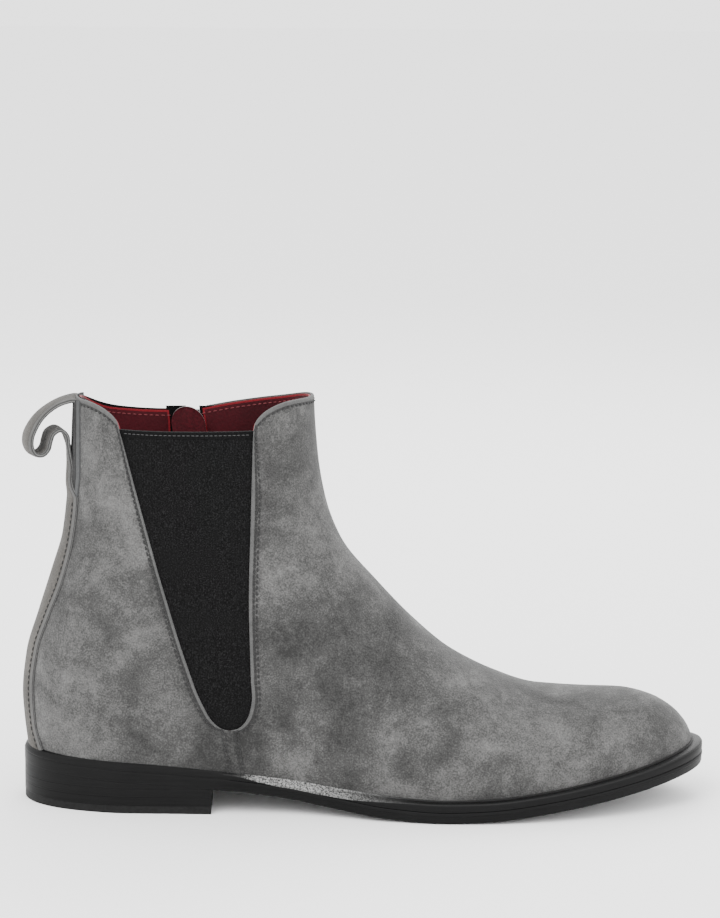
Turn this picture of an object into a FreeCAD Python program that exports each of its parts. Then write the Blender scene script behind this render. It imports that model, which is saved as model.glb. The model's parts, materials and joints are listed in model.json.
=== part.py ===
import FreeCAD, Part
import math
import os

from FreeCAD import Placement, Rotation, Vector

# A right ankle boot in millimetres: +X to the toe, +Y to the inner (medial) side, +Z up.
# While it is drawn, X starts at the back of the heel; origin_x then moves the origin under the boot's middle.

doc = FreeCAD.newDocument("ChelseaBoot")
sheet = doc.addObject("Spreadsheet::Sheet", "Dims")
driving = {
    "origin_x": 151.0,           # from the back of the heel to the origin
    "toe_end": 300.2,            # the upper's front end at the welt
    "suede_thick": 1.6,
    "lining_thick": 1.0,
    "stiffener_thick": 0.7,
    "strip_thick": 1.4,
    "tape_thick": 0.6,
    "outsole_thick": 5.2,
    "welt_margin": 5.0,          # how far the welt stands out at the ball
    "insole_thick": 2.2,
    "sock_thick": 1.6,
    "breast_x": 84.0,            # front face of the heel
    "heel_width": 71.0,
    "top_piece_thick": 3.6,
    "lift_thick": 3.85,
    "gore_top": 171.0,           # height of the elastic's top edge
    "loop_width": 18.0,
    "loop_thick": 2.0,
    "shank_width": 14.0,
    "shank_thick": 1.2,
    "nail_radius": 0.9,
    "zip_top_x": 73.5,
    "zip_top_z": 172.0,
    "zip_end_x": 90.0,
    "zip_end_z": 44.0,
    "zip_wall": 35.5,            # the inner wall's distance from the centre plane, along the zip
    "zip_half_gap": 4.6,         # half of the slot in the suede
    "tape_width": 12.0,
    "tooth_pitch": 2.4,
    "post_way": 0.9,             # half of the channel that the slider's post runs in
    "slider_long": 11.0,
    "slider_wide": 8.0,
    "slider_start": 10.0,        # slider centre below the zip's top end, closed
    "puller_long": 22.0,
    "puller_wide": 6.4,
}
for line, (alias, value) in enumerate(driving.items(), 1):
    sheet.set(f"A{line}", alias)
    sheet.set(f"B{line}", str(value))
    sheet.setAlias(f"B{line}", alias)
doc.recompute()


def size(alias):
    return float(sheet.get(alias))


shift = Vector(-size("origin_x"), 0, 0)
subparts = []
level = Rotation()


# ---------------------------------------------------------------- curves of the last

def smoothLine(points):
    """A smooth line through (position, value) points that never overshoots them."""
    xs = [p[0] for p in points]
    ys = [p[1] for p in points]
    slopes = [(ys[i + 1] - ys[i]) / (xs[i + 1] - xs[i]) for i in range(len(xs) - 1)]
    tangents = [slopes[0]]
    for a, b in zip(slopes, slopes[1:]):
        tangents.append(0.0 if a * b <= 0 else 2 * a * b / (a + b))
    tangents.append(slopes[-1])

    def value(x):
        if x <= xs[0]:
            return ys[0]
        if x >= xs[-1]:
            return ys[-1]
        i = max(k for k in range(len(xs) - 1) if xs[k] <= x)
        span = xs[i + 1] - xs[i]
        u = (x - xs[i]) / span
        return ((1 + 2 * u) * (1 - u) ** 2 * ys[i] + u * (1 - u) ** 2 * span * tangents[i]
                + u * u * (3 - 2 * u) * ys[i + 1] + u * u * (u - 1) * span * tangents[i + 1])
    return value


def mix(a, b, share):
    return a + (b - a) * share


def ramp(x, low, high):
    u = min(max((x - low) / (high - low), 0.0), 1.0)
    return u * u * (3 - 2 * u)


def roundOff(u, power):
    """0 at u = 0 with an upright start, 1 from u = 1 on: how a wall rounds into an edge."""
    u = min(max(u, 0.0), 1.0)
    return math.sqrt(max(1 - (1 - u) ** power, 0.0))


toeEnd = size("toe_end")
# heights over the boot's length
feather = smoothLine([(0, 24.8), (47, 23.0), (93, 18.9), (123, 15.2), (150, 11.9), (185, 9.6), (205, 10.1),
                      (230, 12.7), (255, 16.6), (278, 20.9), (300, 26.0)])
soleBottom = smoothLine([(-2, 17.0), (84, 11.4), (112, 8.3), (140, 4.0), (165, 1.0), (185, 0.0), (205, 0.7),
                         (235, 4.2), (270, 9.8), (305, 16.8)])
# the back line: x over height
backLine = smoothLine([(24, 2.1), (38, 0.5), (48, -0.1), (66, 1.7), (84, 7.0), (103, 13.0), (121, 18.4),
                       (136, 21.0), (158, 21.9), (183, 23.0), (206, 24.5)])
# the front line, from above the collar down the instep to the toe
ridge = [(128.0, 206), (128.5, 182), (130.2, 158), (134.0, 136), (141.5, 117.5), (157.0, 99), (174.5, 80.7),
         (190.5, 67.3), (210.0, 57.0), (231.0, 50.2), (250.0, 49.0), (268.0, 48.5), (281.0, 45.6), (291.5, 39.7),
         (297.6, 33.0), (toeEnd, 26.0), (toeEnd + 0.01, -8)]
along = [0.0]
for (xa, za), (xb, zb) in zip(ridge, ridge[1:]):
    along.append(along[-1] + math.hypot(xb - xa, zb - za))
ridgeX = smoothLine([(s, p[0]) for s, p in zip(along, ridge)])
ridgeZ = smoothLine([(s, p[1]) for s, p in zip(along, ridge)])
ridgeTop = smoothLine(ridge)
ridgeSamples = [(ridgeX(along[-1] * k / 90), ridgeZ(along[-1] * k / 90)) for k in range(91)]
# half widths of the foot (over its length) and of the shaft (over its height)
footOuter = smoothLine([(0, 33.5), (50, 34.5), (84, 35.0), (115, 34.6), (140, 38.5), (165, 44.0), (190, 47.4),
                        (215, 47.8), (300, 46.0)])
footInner = smoothLine([(0, 34.0), (60, 35.5), (96, 35.5), (125, 33.0), (150, 35.0), (180, 42.0), (212, 46.6),
                        (240, 46.0), (300, 44.0)])
shaftOuter = smoothLine([(20, 34.5), (48, 35.8), (85, 35.0), (115, 34.4), (150, 35.4), (175, 36.0)])
toeSwing = smoothLine([(120, 0.0), (210, 1.2), (300, 4.5)])   # the centre line turns inwards to the toe
INNER, OUTER = 1, -1
shaftReach, heelReach, toeReachOuter, toeReachInner = 57.0, 46.0, 104.0, 84.0


def ridgeDistance(x, z):
    """How deep a point of the side view lies below the front line, as a share of the rounding."""
    near = min(math.hypot(x - a, z - b) for a, b in ridgeSamples)
    front = ramp(x, 150, 205)
    top = ridgeTop(x)
    depth = mix(near, top - z, front)
    reach = mix(shaftReach, max(top - feather(x), 1.0), front)
    return depth / reach


def halfWidth(x, z, side):
    """The last's half width at a point of the side view."""
    z = max(z, feather(x))
    foot, shaft, toeReach = footOuter, shaftOuter(z), toeReachOuter
    if side == INNER:
        foot, shaft, toeReach = footInner, size("zip_wall"), toeReachInner
    flank = mix(foot(x), shaft, ramp(z, 32, 95))
    tuck = 1 - 0.045 * math.exp(-(z - feather(x)) / 6.0)
    crown = roundOff(ridgeDistance(x, z), 2.4)
    heel = roundOff((x - backLine(z)) / heelReach, 1.9)
    return flank * tuck * crown * heel * roundOff((toeEnd - x) / toeReach, 2.1)


# the upper's surface is a stack of loops: each runs from the back line to the front line and round
loopRows, loopSteps = 36, 44
backHeight = smoothLine([(0.0, 206), (0.12, 176), (0.30, 118), (0.45, 84), (0.58, 63), (0.70, 47), (0.80, 33),
                         (0.90, 18), (1.0, -8)])


def loopPoints(share):
    s = share * along[-1]
    front = (ridgeX(s), ridgeZ(s))
    back = (backLine(backHeight(share)), backHeight(share))
    points = []
    for k in range(loopSteps):
        angle = 2 * math.pi * k / loopSteps
        forward = (1 - math.cos(angle)) / 2
        x, z = mix(back[0], front[0], forward), mix(back[1], front[1], forward)
        side = OUTER if angle < math.pi else INNER
        edge = k in (0, loopSteps // 2)
        width = 0.0 if edge else halfWidth(x, z, side)
        points.append(Vector(x, toeSwing(x) + side * width, z))
    return points


grid = [loopPoints(1 - row / (loopRows - 1)) for row in range(loopRows)]


def normalAt(row, k):
    ahead, behind = grid[row][(k + 1) % loopSteps], grid[row][k - 1]
    above, below = grid[min(row + 1, loopRows - 1)][k], grid[max(row - 1, 0)][k]
    normal = (ahead - behind).cross(above - below)
    if row in (0, loopRows - 1):
        normal.z = 0        # the end loops stay flat
    return normal.normalize()


normals = [[normalAt(row, k) for k in range(loopSteps)] for row in range(loopRows)]


def lastSolid(depth):
    """The solid inside the surface that lies depth under the upper's outside."""
    rows = [[p - n * depth for p, n in zip(grid[row], normals[row])] for row in range(loopRows)]
    surface = Part.BSplineSurface()
    surface.interpolate([points + points[:1] for points in rows])
    wall = surface.toShape()
    ends = [Part.Face(Part.Wire(edge)) for edge in wall.Edges if edge.isClosed()]
    shell = Part.makeShell([wall] + ends)
    shell.sewShape()
    solid = Part.Solid(shell)
    if solid.Volume < 0:
        solid.reverse()
    return solid


# ---------------------------------------------------------------- outlines in the side view

def sideFace(*runs):
    """A face in the side view; each run is a straight line (two points) or a smooth curve (more)."""
    edges = []
    for run in runs:
        points = [Vector(x, 0, z) for x, z in run]
        if len(points) == 2:
            if points[0].distanceToPoint(points[1]) > 1e-6:
                edges.append(Part.makeLine(*points))
        else:
            curve = Part.BSplineCurve()
            curve.interpolate(points)
            edges.append(curve.toShape())
    return Part.Face(Part.Wire(edges))


def sidePrism(face, fromY, toY):
    moved = face.copy()
    moved.translate(Vector(0, fromY, 0))
    return moved.extrude(Vector(0, toY - fromY, 0))


def heights(line, fromX, toX, steps, lift=0.0):
    return [(mix(fromX, toX, k / steps), line(mix(fromX, toX, k / steps)) + lift) for k in range(steps + 1)]


def shifted(run, dx, dz):
    return [(x + dx, z + dz) for x, z in run]


farOut, backOut, frontOut = 90.0, -12.0, 312.0
seamFoot = (94.8, feather(94.8))
goreFoot = (92.0, 38.2)
goreTopZ = size("gore_top")
goreBackRun = [goreFoot, (85.2, 41.2), (80.0, 50.0), (73.0, 68.5), (64.2, 97.0), (53.6, 134.0), (43.4, goreTopZ)]
goreFrontRun = [(102.3, goreTopZ), (101.3, 132.0), (100.4, 95.0), (101.3, 62.0), (101.7, 50.0), (98.6, 41.2),
                goreFoot]
collarBackOuter = [(43.4, goreTopZ), (41.8, 175.4), (37.2, 179.4), (30.0, 182.0), (22.9, 182.5), (15.0, 182.0)]
collarFrontOuter = [(134.0, 182.2), (128.4, 183.1), (122.0, 183.7), (114.0, 182.7), (107.0, 179.4), (103.4, 175.4),
                    (102.3, goreTopZ)]
collarBackInner = [(69.1, 170.6), (58.0, 170.8), (45.4, 172.2), (33.0, 175.8), (22.9, 182.5), (15.0, 187.0)]
collarFrontInner = [(134.0, 184.6), (128.4, 183.1), (118.0, 179.8), (104.0, 176.8), (90.5, 174.2), (78.1, 171.6)]

zipTop = (size("zip_top_x"), size("zip_top_z"))
zipEnd = (size("zip_end_x"), size("zip_end_z"))
zipLength = math.hypot(zipEnd[0] - zipTop[0], zipEnd[1] - zipTop[1])


def zipX(z):
    return mix(zipTop[0], zipEnd[0], (zipTop[1] - z) / (zipTop[1] - zipEnd[1]))


slotFoot = (91.0, 39.0)
slotLow = 45.0
halfGap = size("zip_half_gap")
slotBackRun = [slotFoot, (87.4, 40.6), (zipX(slotLow) - halfGap, slotLow)]
slotFrontRun = [(zipX(slotLow) + halfGap, slotLow), (94.6, 40.6), slotFoot]


def vampTool():
    """All that lies in front of the gore on the outer side and of the zip on the inner side."""
    ground = heights(feather, seamFoot[0], frontOut, 26)
    faces = []
    for collar, rest in ((collarFrontOuter, [goreFrontRun, [goreFoot, seamFoot]]),
                         (collarFrontInner, [[collarFrontInner[-1], slotFrontRun[0]], slotFrontRun,
                                             [slotFoot, seamFoot]])):
        corner = (frontOut, collar[0][1])
        faces.append(sideFace(ground, [ground[-1], corner], [corner, collar[0]], collar, *rest))
    outer, inner = faces
    return sidePrism(outer, -farOut, 0).fuse(sidePrism(inner, 0, farOut)).removeSplitter()


def quarterTool(side):
    """All that lies behind the gore or the zip, on one side of the back seam."""
    ground = heights(feather, backOut, seamFoot[0], 10)
    if side == OUTER:
        corner = (backOut, collarBackOuter[-1][1])
        face = sideFace(ground, [seamFoot, goreFoot], goreBackRun, collarBackOuter,
                        [collarBackOuter[-1], corner], [corner, ground[0]])
        return sidePrism(face, -farOut, 0)
    corner = (backOut, collarBackInner[-1][1])
    face = sideFace(ground, [seamFoot, slotFoot], slotBackRun, [slotBackRun[-1], collarBackInner[0]],
                    collarBackInner, [collarBackInner[-1], corner], [corner, ground[0]])
    return sidePrism(face, 0, farOut)


def goreTool(margin, top, low=None):
    """The elastic's V, grown by a margin, up to a height."""
    back = [(x - margin * 0.96, z) for x, z in goreBackRun[2:]]
    front = [(x + margin, z) for x, z in goreFrontRun[:-2]]
    foot = [front[-1], (97.5, 41.5 - margin), (86.5, 41.5 - margin), back[0]]
    closing = [back[-1], (back[-1][0], top), (front[0][0], top), front[0]]
    face = sideFace(back, closing[:2], closing[1:3], closing[2:], front, foot)
    prism = sidePrism(face, -farOut, 0)
    if low is not None:
        prism = prism.common(Part.makeBox(farOut * 2, farOut * 2, top - low, Vector(0, -farOut, low)))
    return prism


def zipBand(fromX, toX, top, low):
    """A slanted band beside the zip line, on the inner side."""
    corners = [(zipX(top) + fromX, top), (zipX(low) + fromX, low), (zipX(low) + toX, low), (zipX(top) + toX, top)]
    face = sideFace(*[[corners[k], corners[(k + 1) % 4]] for k in range(4)])
    return sidePrism(face, 0, farOut)


def collarBand(run, depth, fromY, toY):
    low = shifted(run, 0, -depth)[::-1]
    return sidePrism(sideFace(run, [run[-1], low[0]], low, [low[-1], run[0]]), fromY, toY)


# ---------------------------------------------------------------- the upper

suede = size("suede_thick")
skived = suede - size("stiffener_thick")     # suede left over a stiffener
inside = suede + size("lining_thick")
outerBody = lastSolid(0)
skivedBody = lastSolid(skived)
suedeBody = lastSolid(suede)
cavityBody = lastSolid(inside)
stripBody = lastSolid(-size("strip_thick"))

suedeShell = outerBody.cut(suedeBody)
stiffShell = skivedBody.cut(suedeBody)
liningShell = suedeBody.cut(cavityBody)
stripShell = stripBody.cut(outerBody)


def placed(label, shape):
    part = doc.addObject("Part::Feature", label)
    part.Shape = shape
    part.Placement = Placement(shift, level)
    part.Label = label
    subparts.append(part)
    return part


vampRegion = vampTool()
outerRegion = quarterTool(OUTER)
innerRegion = quarterTool(INNER)
elasticMargin = 7.0      # how far the elastic reaches under the suede
elasticRegion = goreTool(elasticMargin, goreTopZ)

aboveWelt = 0.6          # the stiffeners end just over the welt
puffFoot = heights(feather, 246, frontOut, 6, aboveWelt)
puffFace = sideFace(puffFoot, [puffFoot[-1], (frontOut, 60)], [(frontOut, 60), (238, 60)],
                    [(238, 60), (243, 36), puffFoot[0]])
toePuff = stiffShell.common(sidePrism(puffFace, -farOut, farOut))
counterFoot = heights(feather, backOut, 80, 6, aboveWelt)
counterFace = sideFace(counterFoot, [counterFoot[-1], (76, 36), (58, 50), (28, 66), (backOut, 72)],
                       [(backOut, 72), counterFoot[0]])
heelCounter = stiffShell.common(sidePrism(counterFace, -farOut, farOut))

tapeDrop = 3.4
bands = [collarBand(collarBackOuter, tapeDrop, -farOut, 0), collarBand(collarFrontOuter, tapeDrop, -farOut, 0),
         collarBand(collarBackInner, tapeDrop, 0, farOut), collarBand(collarFrontInner, tapeDrop, 0, farOut)]
toplineTape = stiffShell.common(bands[0].multiFuse(bands[1:]))

placed("vamp", suedeShell.common(vampRegion).cut([toePuff, toplineTape]))
placed("quarter_lateral", suedeShell.common(outerRegion).cut([heelCounter, toplineTape]))
placed("quarter_medial", suedeShell.common(innerRegion).cut([heelCounter, toplineTape]))
placed("toe_puff", toePuff)
placed("heel_counter", heelCounter)
placed("topline_tape", toplineTape)

windowHalf = 8.6         # half of the opening in the lining behind the zip
zipWindow = zipBand(-windowHalf, windowHalf, 190, 38)
placed("elastic_gore", liningShell.common(elasticRegion))
placed("lining_vamp", liningShell.common(vampRegion).cut([elasticRegion, zipWindow]))
placed("lining_quarter_lateral", liningShell.common(outerRegion).cut(elasticRegion))
placed("lining_quarter_medial", liningShell.common(innerRegion).cut(zipWindow))
hemHeight, hemRise, hemInset = 2.4, 0.7, -0.5
hemShell = skivedBody.cut(cavityBody).common(goreTool(hemInset, goreTopZ + hemRise, goreTopZ - hemHeight))
placed("gore_hem", hemShell.cut(liningShell.common(elasticRegion)))

stripEdge = [(9.4, 22.0), (5.6, 36.0), (4.6, 52.0), (6.8, 69.6), (12.2, 85.7), (18.0, 101.0), (22.6, 119.0),
             (24.8, 136.0)]
stripFoot = heights(feather, backOut, stripEdge[0][0], 4, 0.1)
stripFace = sideFace(stripFoot, [stripFoot[-1]] + stripEdge[1:], [stripEdge[-1], (backOut, 136.0)],
                     [(backOut, 136.0), stripFoot[0]])
placed("back_strip", stripShell.common(sidePrism(stripFace, -farOut, farOut)))
tabFace = sideFace([(backOut, 144.5), (25.4, 144.5)], [(25.4, 144.5), (25.8, 178.0)], [(25.8, 178.0), (backOut, 178.0)],
                   [(backOut, 178.0), (backOut, 144.5)])
backTab = stripShell.common(sidePrism(tabFace, -farOut, farOut))
placed("back_tab", backTab)

loopPath = [(23.0, 181.0), (17.4, 179.4), (11.4, 176.2), (6.4, 171.2), (3.0, 166.0), (1.4, 161.0), (1.8, 157.4),
            (4.0, 154.8), (7.2, 154.0), (10.2, 155.6), (12.0, 158.6), (12.6, 162.2), (13.5, 165.2), (15.6, 167.0),
            (17.9, 167.0), (19.5, 165.2), (19.8, 161.0), (19.1, 155.0), (19.0, 149.0), (19.8, 142.0), (20.4, 136.2)]
pathCurve = Part.BSplineCurve()
pathCurve.interpolate([Vector(x, 0, z) for x, z in loopPath])
first, last = pathCurve.FirstParameter, pathCurve.LastParameter
leftRun, rightRun = [], []
for k in range(61):
    at = mix(first, last, k / 60)
    here, way = pathCurve.value(at), pathCurve.tangent(at)[0]
    across = Vector(-way.z, 0, way.x) * (size("loop_thick") / 2)
    leftRun.append(((here + across).x, (here + across).z))
    rightRun.append(((here - across).x, (here - across).z))
loopFace = sideFace(leftRun, [leftRun[-1], rightRun[-1]], rightRun[::-1], [rightRun[0], leftRun[0]])
loopHalf = size("loop_width") / 2
placed("pull_loop", sidePrism(loopFace, -loopHalf, loopHalf).cut([outerBody, backTab]))


# ---------------------------------------------------------------- the sole

def bindPlace(part, label):
    part.Label = label
    part.setExpression("Placement.Base.x", "-Dims.origin_x")
    subparts.append(part)
    return part


weltShare = smoothLine([(0, 0.10), (70, 0.12), (100, 0.35), (130, 0.55), (160, 0.95), (300, 1.0)])
weltMargin = size("welt_margin")


def planPoint(x, side, margin):
    """A point of the plan outline, moved out across the upper's own outline."""
    step = 0.4
    ahead, behind = min(x + step, toeEnd), max(x - step, backLine(24) + 0.0)
    run = ahead - behind
    rise = halfWidth(ahead, 0, side) - halfWidth(behind, 0, side)
    length = math.hypot(run, rise)
    out = (-rise / length, run / length)
    return Vector(x + out[0] * margin, toeSwing(x) + side * (halfWidth(x, 0, side) + out[1] * margin), 0)


def planOutline(extra, inset=None):
    """The sole's closed outline from the heel's back round both sides; inset gives an inner line."""
    steps = 22
    points = []
    for side in (OUTER, INNER):
        run = []
        for k in range(steps + 1):
            x = mix(backLine(24), toeEnd, (1 - math.cos(math.pi * k / steps)) / 2)
            margin = -inset if inset is not None else weltMargin * weltShare(x) + extra
            if k == 0:
                run.append(Vector(x - margin, 0, 0))
            elif k == steps:
                run.append(Vector(x + margin, toeSwing(x), 0))
            else:
                run.append(planPoint(x, side, margin))
        points += run[:-1] if side == OUTER else run[:0:-1]
    curve = Part.BSplineCurve()
    curve.interpolate(points, PeriodicFlag=True)
    return Part.Face(Part.Wire(curve.toShape()))


def helper(label, shape):
    part = doc.addObject("Part::Feature", label)
    part.Shape = shape
    return part


def extrusion(base, label, way, lengthAlias=None, length=None):
    part = doc.addObject("Part::Extrusion", label)
    part.Base = base
    part.DirMode = "Custom"
    part.Dir = way
    part.Solid = True
    if lengthAlias:
        part.setExpression("LengthFwd", f"Dims.{lengthAlias}")
    else:
        part.LengthFwd = length
    return part


def band(label, lowLine, highLine, fromX, toX, steps=14):
    """A side-view band between two lines, as wide as the boot."""
    low = heights(lowLine, fromX, toX, steps)
    high = heights(highLine, fromX, toX, steps)[::-1]
    face = sideFace(low, [low[-1], high[0]], high, [high[-1], low[0]])
    face.translate(Vector(0, -farOut, 0))
    return extrusion(helper(label + "_side", face), label + "_band", Vector(0, 1, 0), length=2 * farOut)


def common(label, *pieces):
    part = doc.addObject("Part::MultiCommon", label)
    part.Shapes = list(pieces)
    return part


def cut(label, base, tool):
    part = doc.addObject("Part::Cut", label)
    part.Base = base
    part.Tool = tool
    return part


def outsoleTop(x):
    return soleBottom(x) + size("outsole_thick")


tallPrism = 60.0
breast = size("breast_x")
soleOutline = helper("sole_outline", planOutline(0.0))
solePrism = extrusion(soleOutline, "sole_prism", Vector(0, 0, 1), length=tallPrism)
outsole = common("outsole_blank", solePrism, band("outsole", soleBottom, outsoleTop, backOut, frontOut, 30))

nailSpots = [(14, 0), (24, 16), (24, -16), (46, 23), (46, -24), (70, 24), (70, -25)]
nailTop = 17.0            # stays inside the outsole all the way to the breast
nailBase = size("top_piece_thick")
nails = []
for k, (x, y) in enumerate(nailSpots):
    nail = doc.addObject("Part::Cylinder", f"nail_{k}")
    nail.setExpression("Radius", "Dims.nail_radius")
    nail.Height = nailTop - nailBase
    nail.Placement = Placement(Vector(x, y, nailBase), level)
    nails.append(nail)
nailGroup = doc.addObject("Part::Compound", "nail_group")
nailGroup.Links = nails
bindPlace(nailGroup, "heel_nails")
nailTools = doc.addObject("Part::Compound", "nail_tools")
nailTools.Links = nails

outsolePart = cut("outsole_part", outsole, nailTools)
bindPlace(outsolePart, "outsole")

# the band between outsole and upper: welt from the waist forward, rand round the heel
seatX = 92.0
weltInset = 7.0
ringInner = extrusion(helper("ring_inner", planOutline(0.0, weltInset)), "ring_prism", Vector(0, 0, 1),
                      length=tallPrism)
ringBand = common("ring_blank", solePrism, band("ring", outsoleTop, feather, backOut, frontOut, 30))
ring = cut("ring_part", ringBand, ringInner)
weltShape = cut("welt_part", ring, band("welt_end", lambda x: -5, lambda x: 60, backOut - 5, seatX, 2))
randShape = cut("rand_part", ring, band("rand_end", lambda x: -5, lambda x: 60, seatX, frontOut + 5, 2))
bindPlace(weltShape, "welt")
bindPlace(randShape, "heel_rand")

shankSpan = (44.0, 150.0)
shankFace = heights(outsoleTop, shankSpan[0], shankSpan[1], 10)
shankHigh = heights(outsoleTop, shankSpan[0], shankSpan[1], 10, size("shank_thick"))[::-1]
shankSide = sideFace(shankFace, [shankFace[-1], shankHigh[0]], shankHigh, [shankHigh[-1], shankFace[0]])
shankSide.translate(Vector(0, -size("shank_width") / 2, 0))
shank = extrusion(helper("shank_side", shankSide), "shank_part", Vector(0, 1, 0), "shank_width")
bindPlace(shank, "shank")
fillerDrop = 0.4           # keeps the cork clear of the insole board


def fillerTop(x):
    return feather(x) - fillerDrop


fillerBlank = common("filler_blank", ringInner, band("filler", outsoleTop, fillerTop, backOut, frontOut, 30))
bindPlace(cut("filler_part", fillerBlank, shank), "cork_filler")

# inside the upper, on the welt
def layerInside(label, low, high):
    lowRun = heights(feather, backOut, frontOut, 26, low)
    highRun = heights(feather, backOut, frontOut, 26, high)[::-1]
    face = sideFace(lowRun, [lowRun[-1], highRun[0]], highRun, [highRun[-1], lowRun[0]])
    return placed(label, cavityBody.common(sidePrism(face, -farOut, farOut)))


insoleThick = size("insole_thick")
layerInside("insole_board", 0.0, insoleThick)
layerInside("sock_liner", insoleThick, insoleThick + size("sock_thick"))


# ---------------------------------------------------------------- the heel

def heelSketch(body, label, circles=()):
    sketch = body.newObject("Sketcher::SketchObject", label)
    plane = [f for f in body.Origin.OriginFeatures if f.Role == "XY_Plane"][0]
    sketch.AttachmentSupport = [(plane, "")]
    sketch.MapMode = "FlatFace"
    curve = Part.BSplineCurve()
    curve.interpolate(heelPoints)
    sketch.addGeometry(curve, False)
    sketch.addGeometry(Part.LineSegment(heelPoints[-1], heelPoints[0]), False)
    for x, y, radius in circles:
        sketch.addGeometry(Part.Circle(Vector(x, y, 0), Vector(0, 0, 1), radius), False)
    return sketch


def heelPad(label, base, thickAlias, circles=()):
    body = doc.addObject("PartDesign::Body", label + "_body")
    sketch = heelSketch(body, label + "_sketch", circles)
    pad = body.newObject("PartDesign::Pad", label + "_pad")
    pad.Profile = sketch
    pad.setExpression("Length", thickAlias)
    body.setExpression("Placement.Base.z", base)
    return bindPlace(body, label)


heelPoints = []
heelSteps = 12
for side, order in ((OUTER, range(heelSteps, 0, -1)), (INNER, range(0, heelSteps + 1))):
    for k in order:
        x = mix(backLine(24), breast, (1 - math.cos(math.pi / 2 * k / heelSteps)))
        margin = weltMargin * weltShare(x) * 0.9
        point = planPoint(x, side, margin)
        if k == 0:
            point = Vector(backLine(24) - margin, 0, 0)
        if k == heelSteps:
            point.x = breast
        heelPoints.append(point)

nailHoles = [(x, y, size("nail_radius")) for x, y in nailSpots]
heelPad("heel_top_piece", "0", "Dims.top_piece_thick")
heelPad("heel_lift_1", "Dims.top_piece_thick", "Dims.lift_thick", nailHoles)
heelPad("heel_lift_2", "Dims.top_piece_thick + Dims.lift_thick", "Dims.lift_thick", nailHoles)
wedgeBase = size("top_piece_thick") + 2 * size("lift_thick")
heelCurve = Part.BSplineCurve()
heelCurve.interpolate(heelPoints)
heelFace = Part.Face(Part.Wire([heelCurve.toShape(), Part.makeLine(heelPoints[-1], heelPoints[0])]))
heelPrism = extrusion(helper("heel_outline", heelFace), "heel_prism", Vector(0, 0, 1), length=tallPrism)
wedgeBlank = common("wedge_blank", heelPrism, band("wedge", lambda x: wedgeBase, soleBottom, backOut, breast, 10))
bindPlace(cut("wedge_part", wedgeBlank, nailTools), "heel_lift_wedge")


# ---------------------------------------------------------------- the zip
# its own frame: X across towards the toe, Y outwards, Z up along the zip, zero at the zip's top end

zipTilt = -math.degrees(math.atan2(zipEnd[0] - zipTop[0], zipTop[1] - zipEnd[1]))
zipPlace = Placement(Vector(zipTop[0] - size("origin_x"), size("zip_wall"), zipTop[1]),
                     Rotation(Vector(0, 1, 0), zipTilt))
tapeLevel = -suede
toothHalf = 1.0                # half of a tooth's thickness
toothMid = tapeLevel - size("tape_thick") / 2
toothReach = 3.0               # a tooth's outer end, from the zip's middle
toothLong = 1.4                # a tooth's length along the zip
air = 0.3                      # clearance round the slider


def inZip(part, label):
    part.Label = label
    part.Placement = zipPlace
    subparts.append(part)
    return part


def box(label, low, high, bound=None):
    part = doc.addObject("Part::Box", label)
    part.Length, part.Width, part.Height = (b - a for a, b in zip(low, high))
    part.Placement = Placement(Vector(*low), level)
    for name, formula in (bound or {}).items():
        part.setExpression(name, formula)
    return part


def fuse(label, pieces):
    part = doc.addObject("Part::MultiFuse", label)
    part.Shapes = pieces
    part.Refine = True
    return part


def compound(label, pieces):
    part = doc.addObject("Part::Compound", label)
    part.Links = pieces
    return part


tapeShell = suedeBody.cut(lastSolid(suede + size("tape_thick")))
tapeFront = tapeShell.common(zipBand(toothReach + 0.02, size("tape_width"), zipTop[1], zipEnd[1] - 1))
tapeBack = tapeShell.common(zipBand(-size("tape_width"), -toothReach - 0.02, zipTop[1], zipEnd[1] - 1))
placed("zip_tape_front", tapeFront)
placed("zip_tape_back", tapeBack)
for part in subparts:
    if part.Label in ("lining_vamp", "lining_quarter_medial"):
        part.Shape = part.Shape.cut([t.translated(shift) for t in (tapeFront, tapeBack)])

postWay = size("post_way")
teethFrom, teethTo = 5.0, 123.0
pitch = size("tooth_pitch")
toothRows = {"zip_teeth_front": (postWay, toothReach, 0.0), "zip_teeth_back": (-toothReach, -postWay, pitch / 2)}
for label, (fromX, toX, start) in toothRows.items():
    teeth = []
    for k in range(int((teethTo - teethFrom) / pitch)):
        top = -(teethFrom + start + k * pitch)
        teeth.append(Part.makeBox(toX - fromX, 2 * toothHalf, toothLong,
                                  Vector(fromX, toothMid - toothHalf, top - toothLong)))
    row = doc.addObject("Part::Feature", label)
    row.Shape = Part.makeCompound(teeth)
    inZip(row, label)

stopHalf = toothHalf + 0.1
stops = [box(f"top_stop_{k}", (x, toothMid - stopHalf, -4.0), (x + 1.9, toothMid + stopHalf, -2.0))
         for k, x in enumerate((-2.9, 1.0))]
inZip(compound("top_stops_part", stops), "zip_top_stops")
inZip(box("bottom_stop_part", (-2.9, 0, 0), (2.9, 2 * stopHalf, 3.2)), "zip_bottom_stop")
doc.getObject("bottom_stop_part").Placement = zipPlace.multiply(
    Placement(Vector(-2.9, toothMid - stopHalf, -127.4), level))

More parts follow.
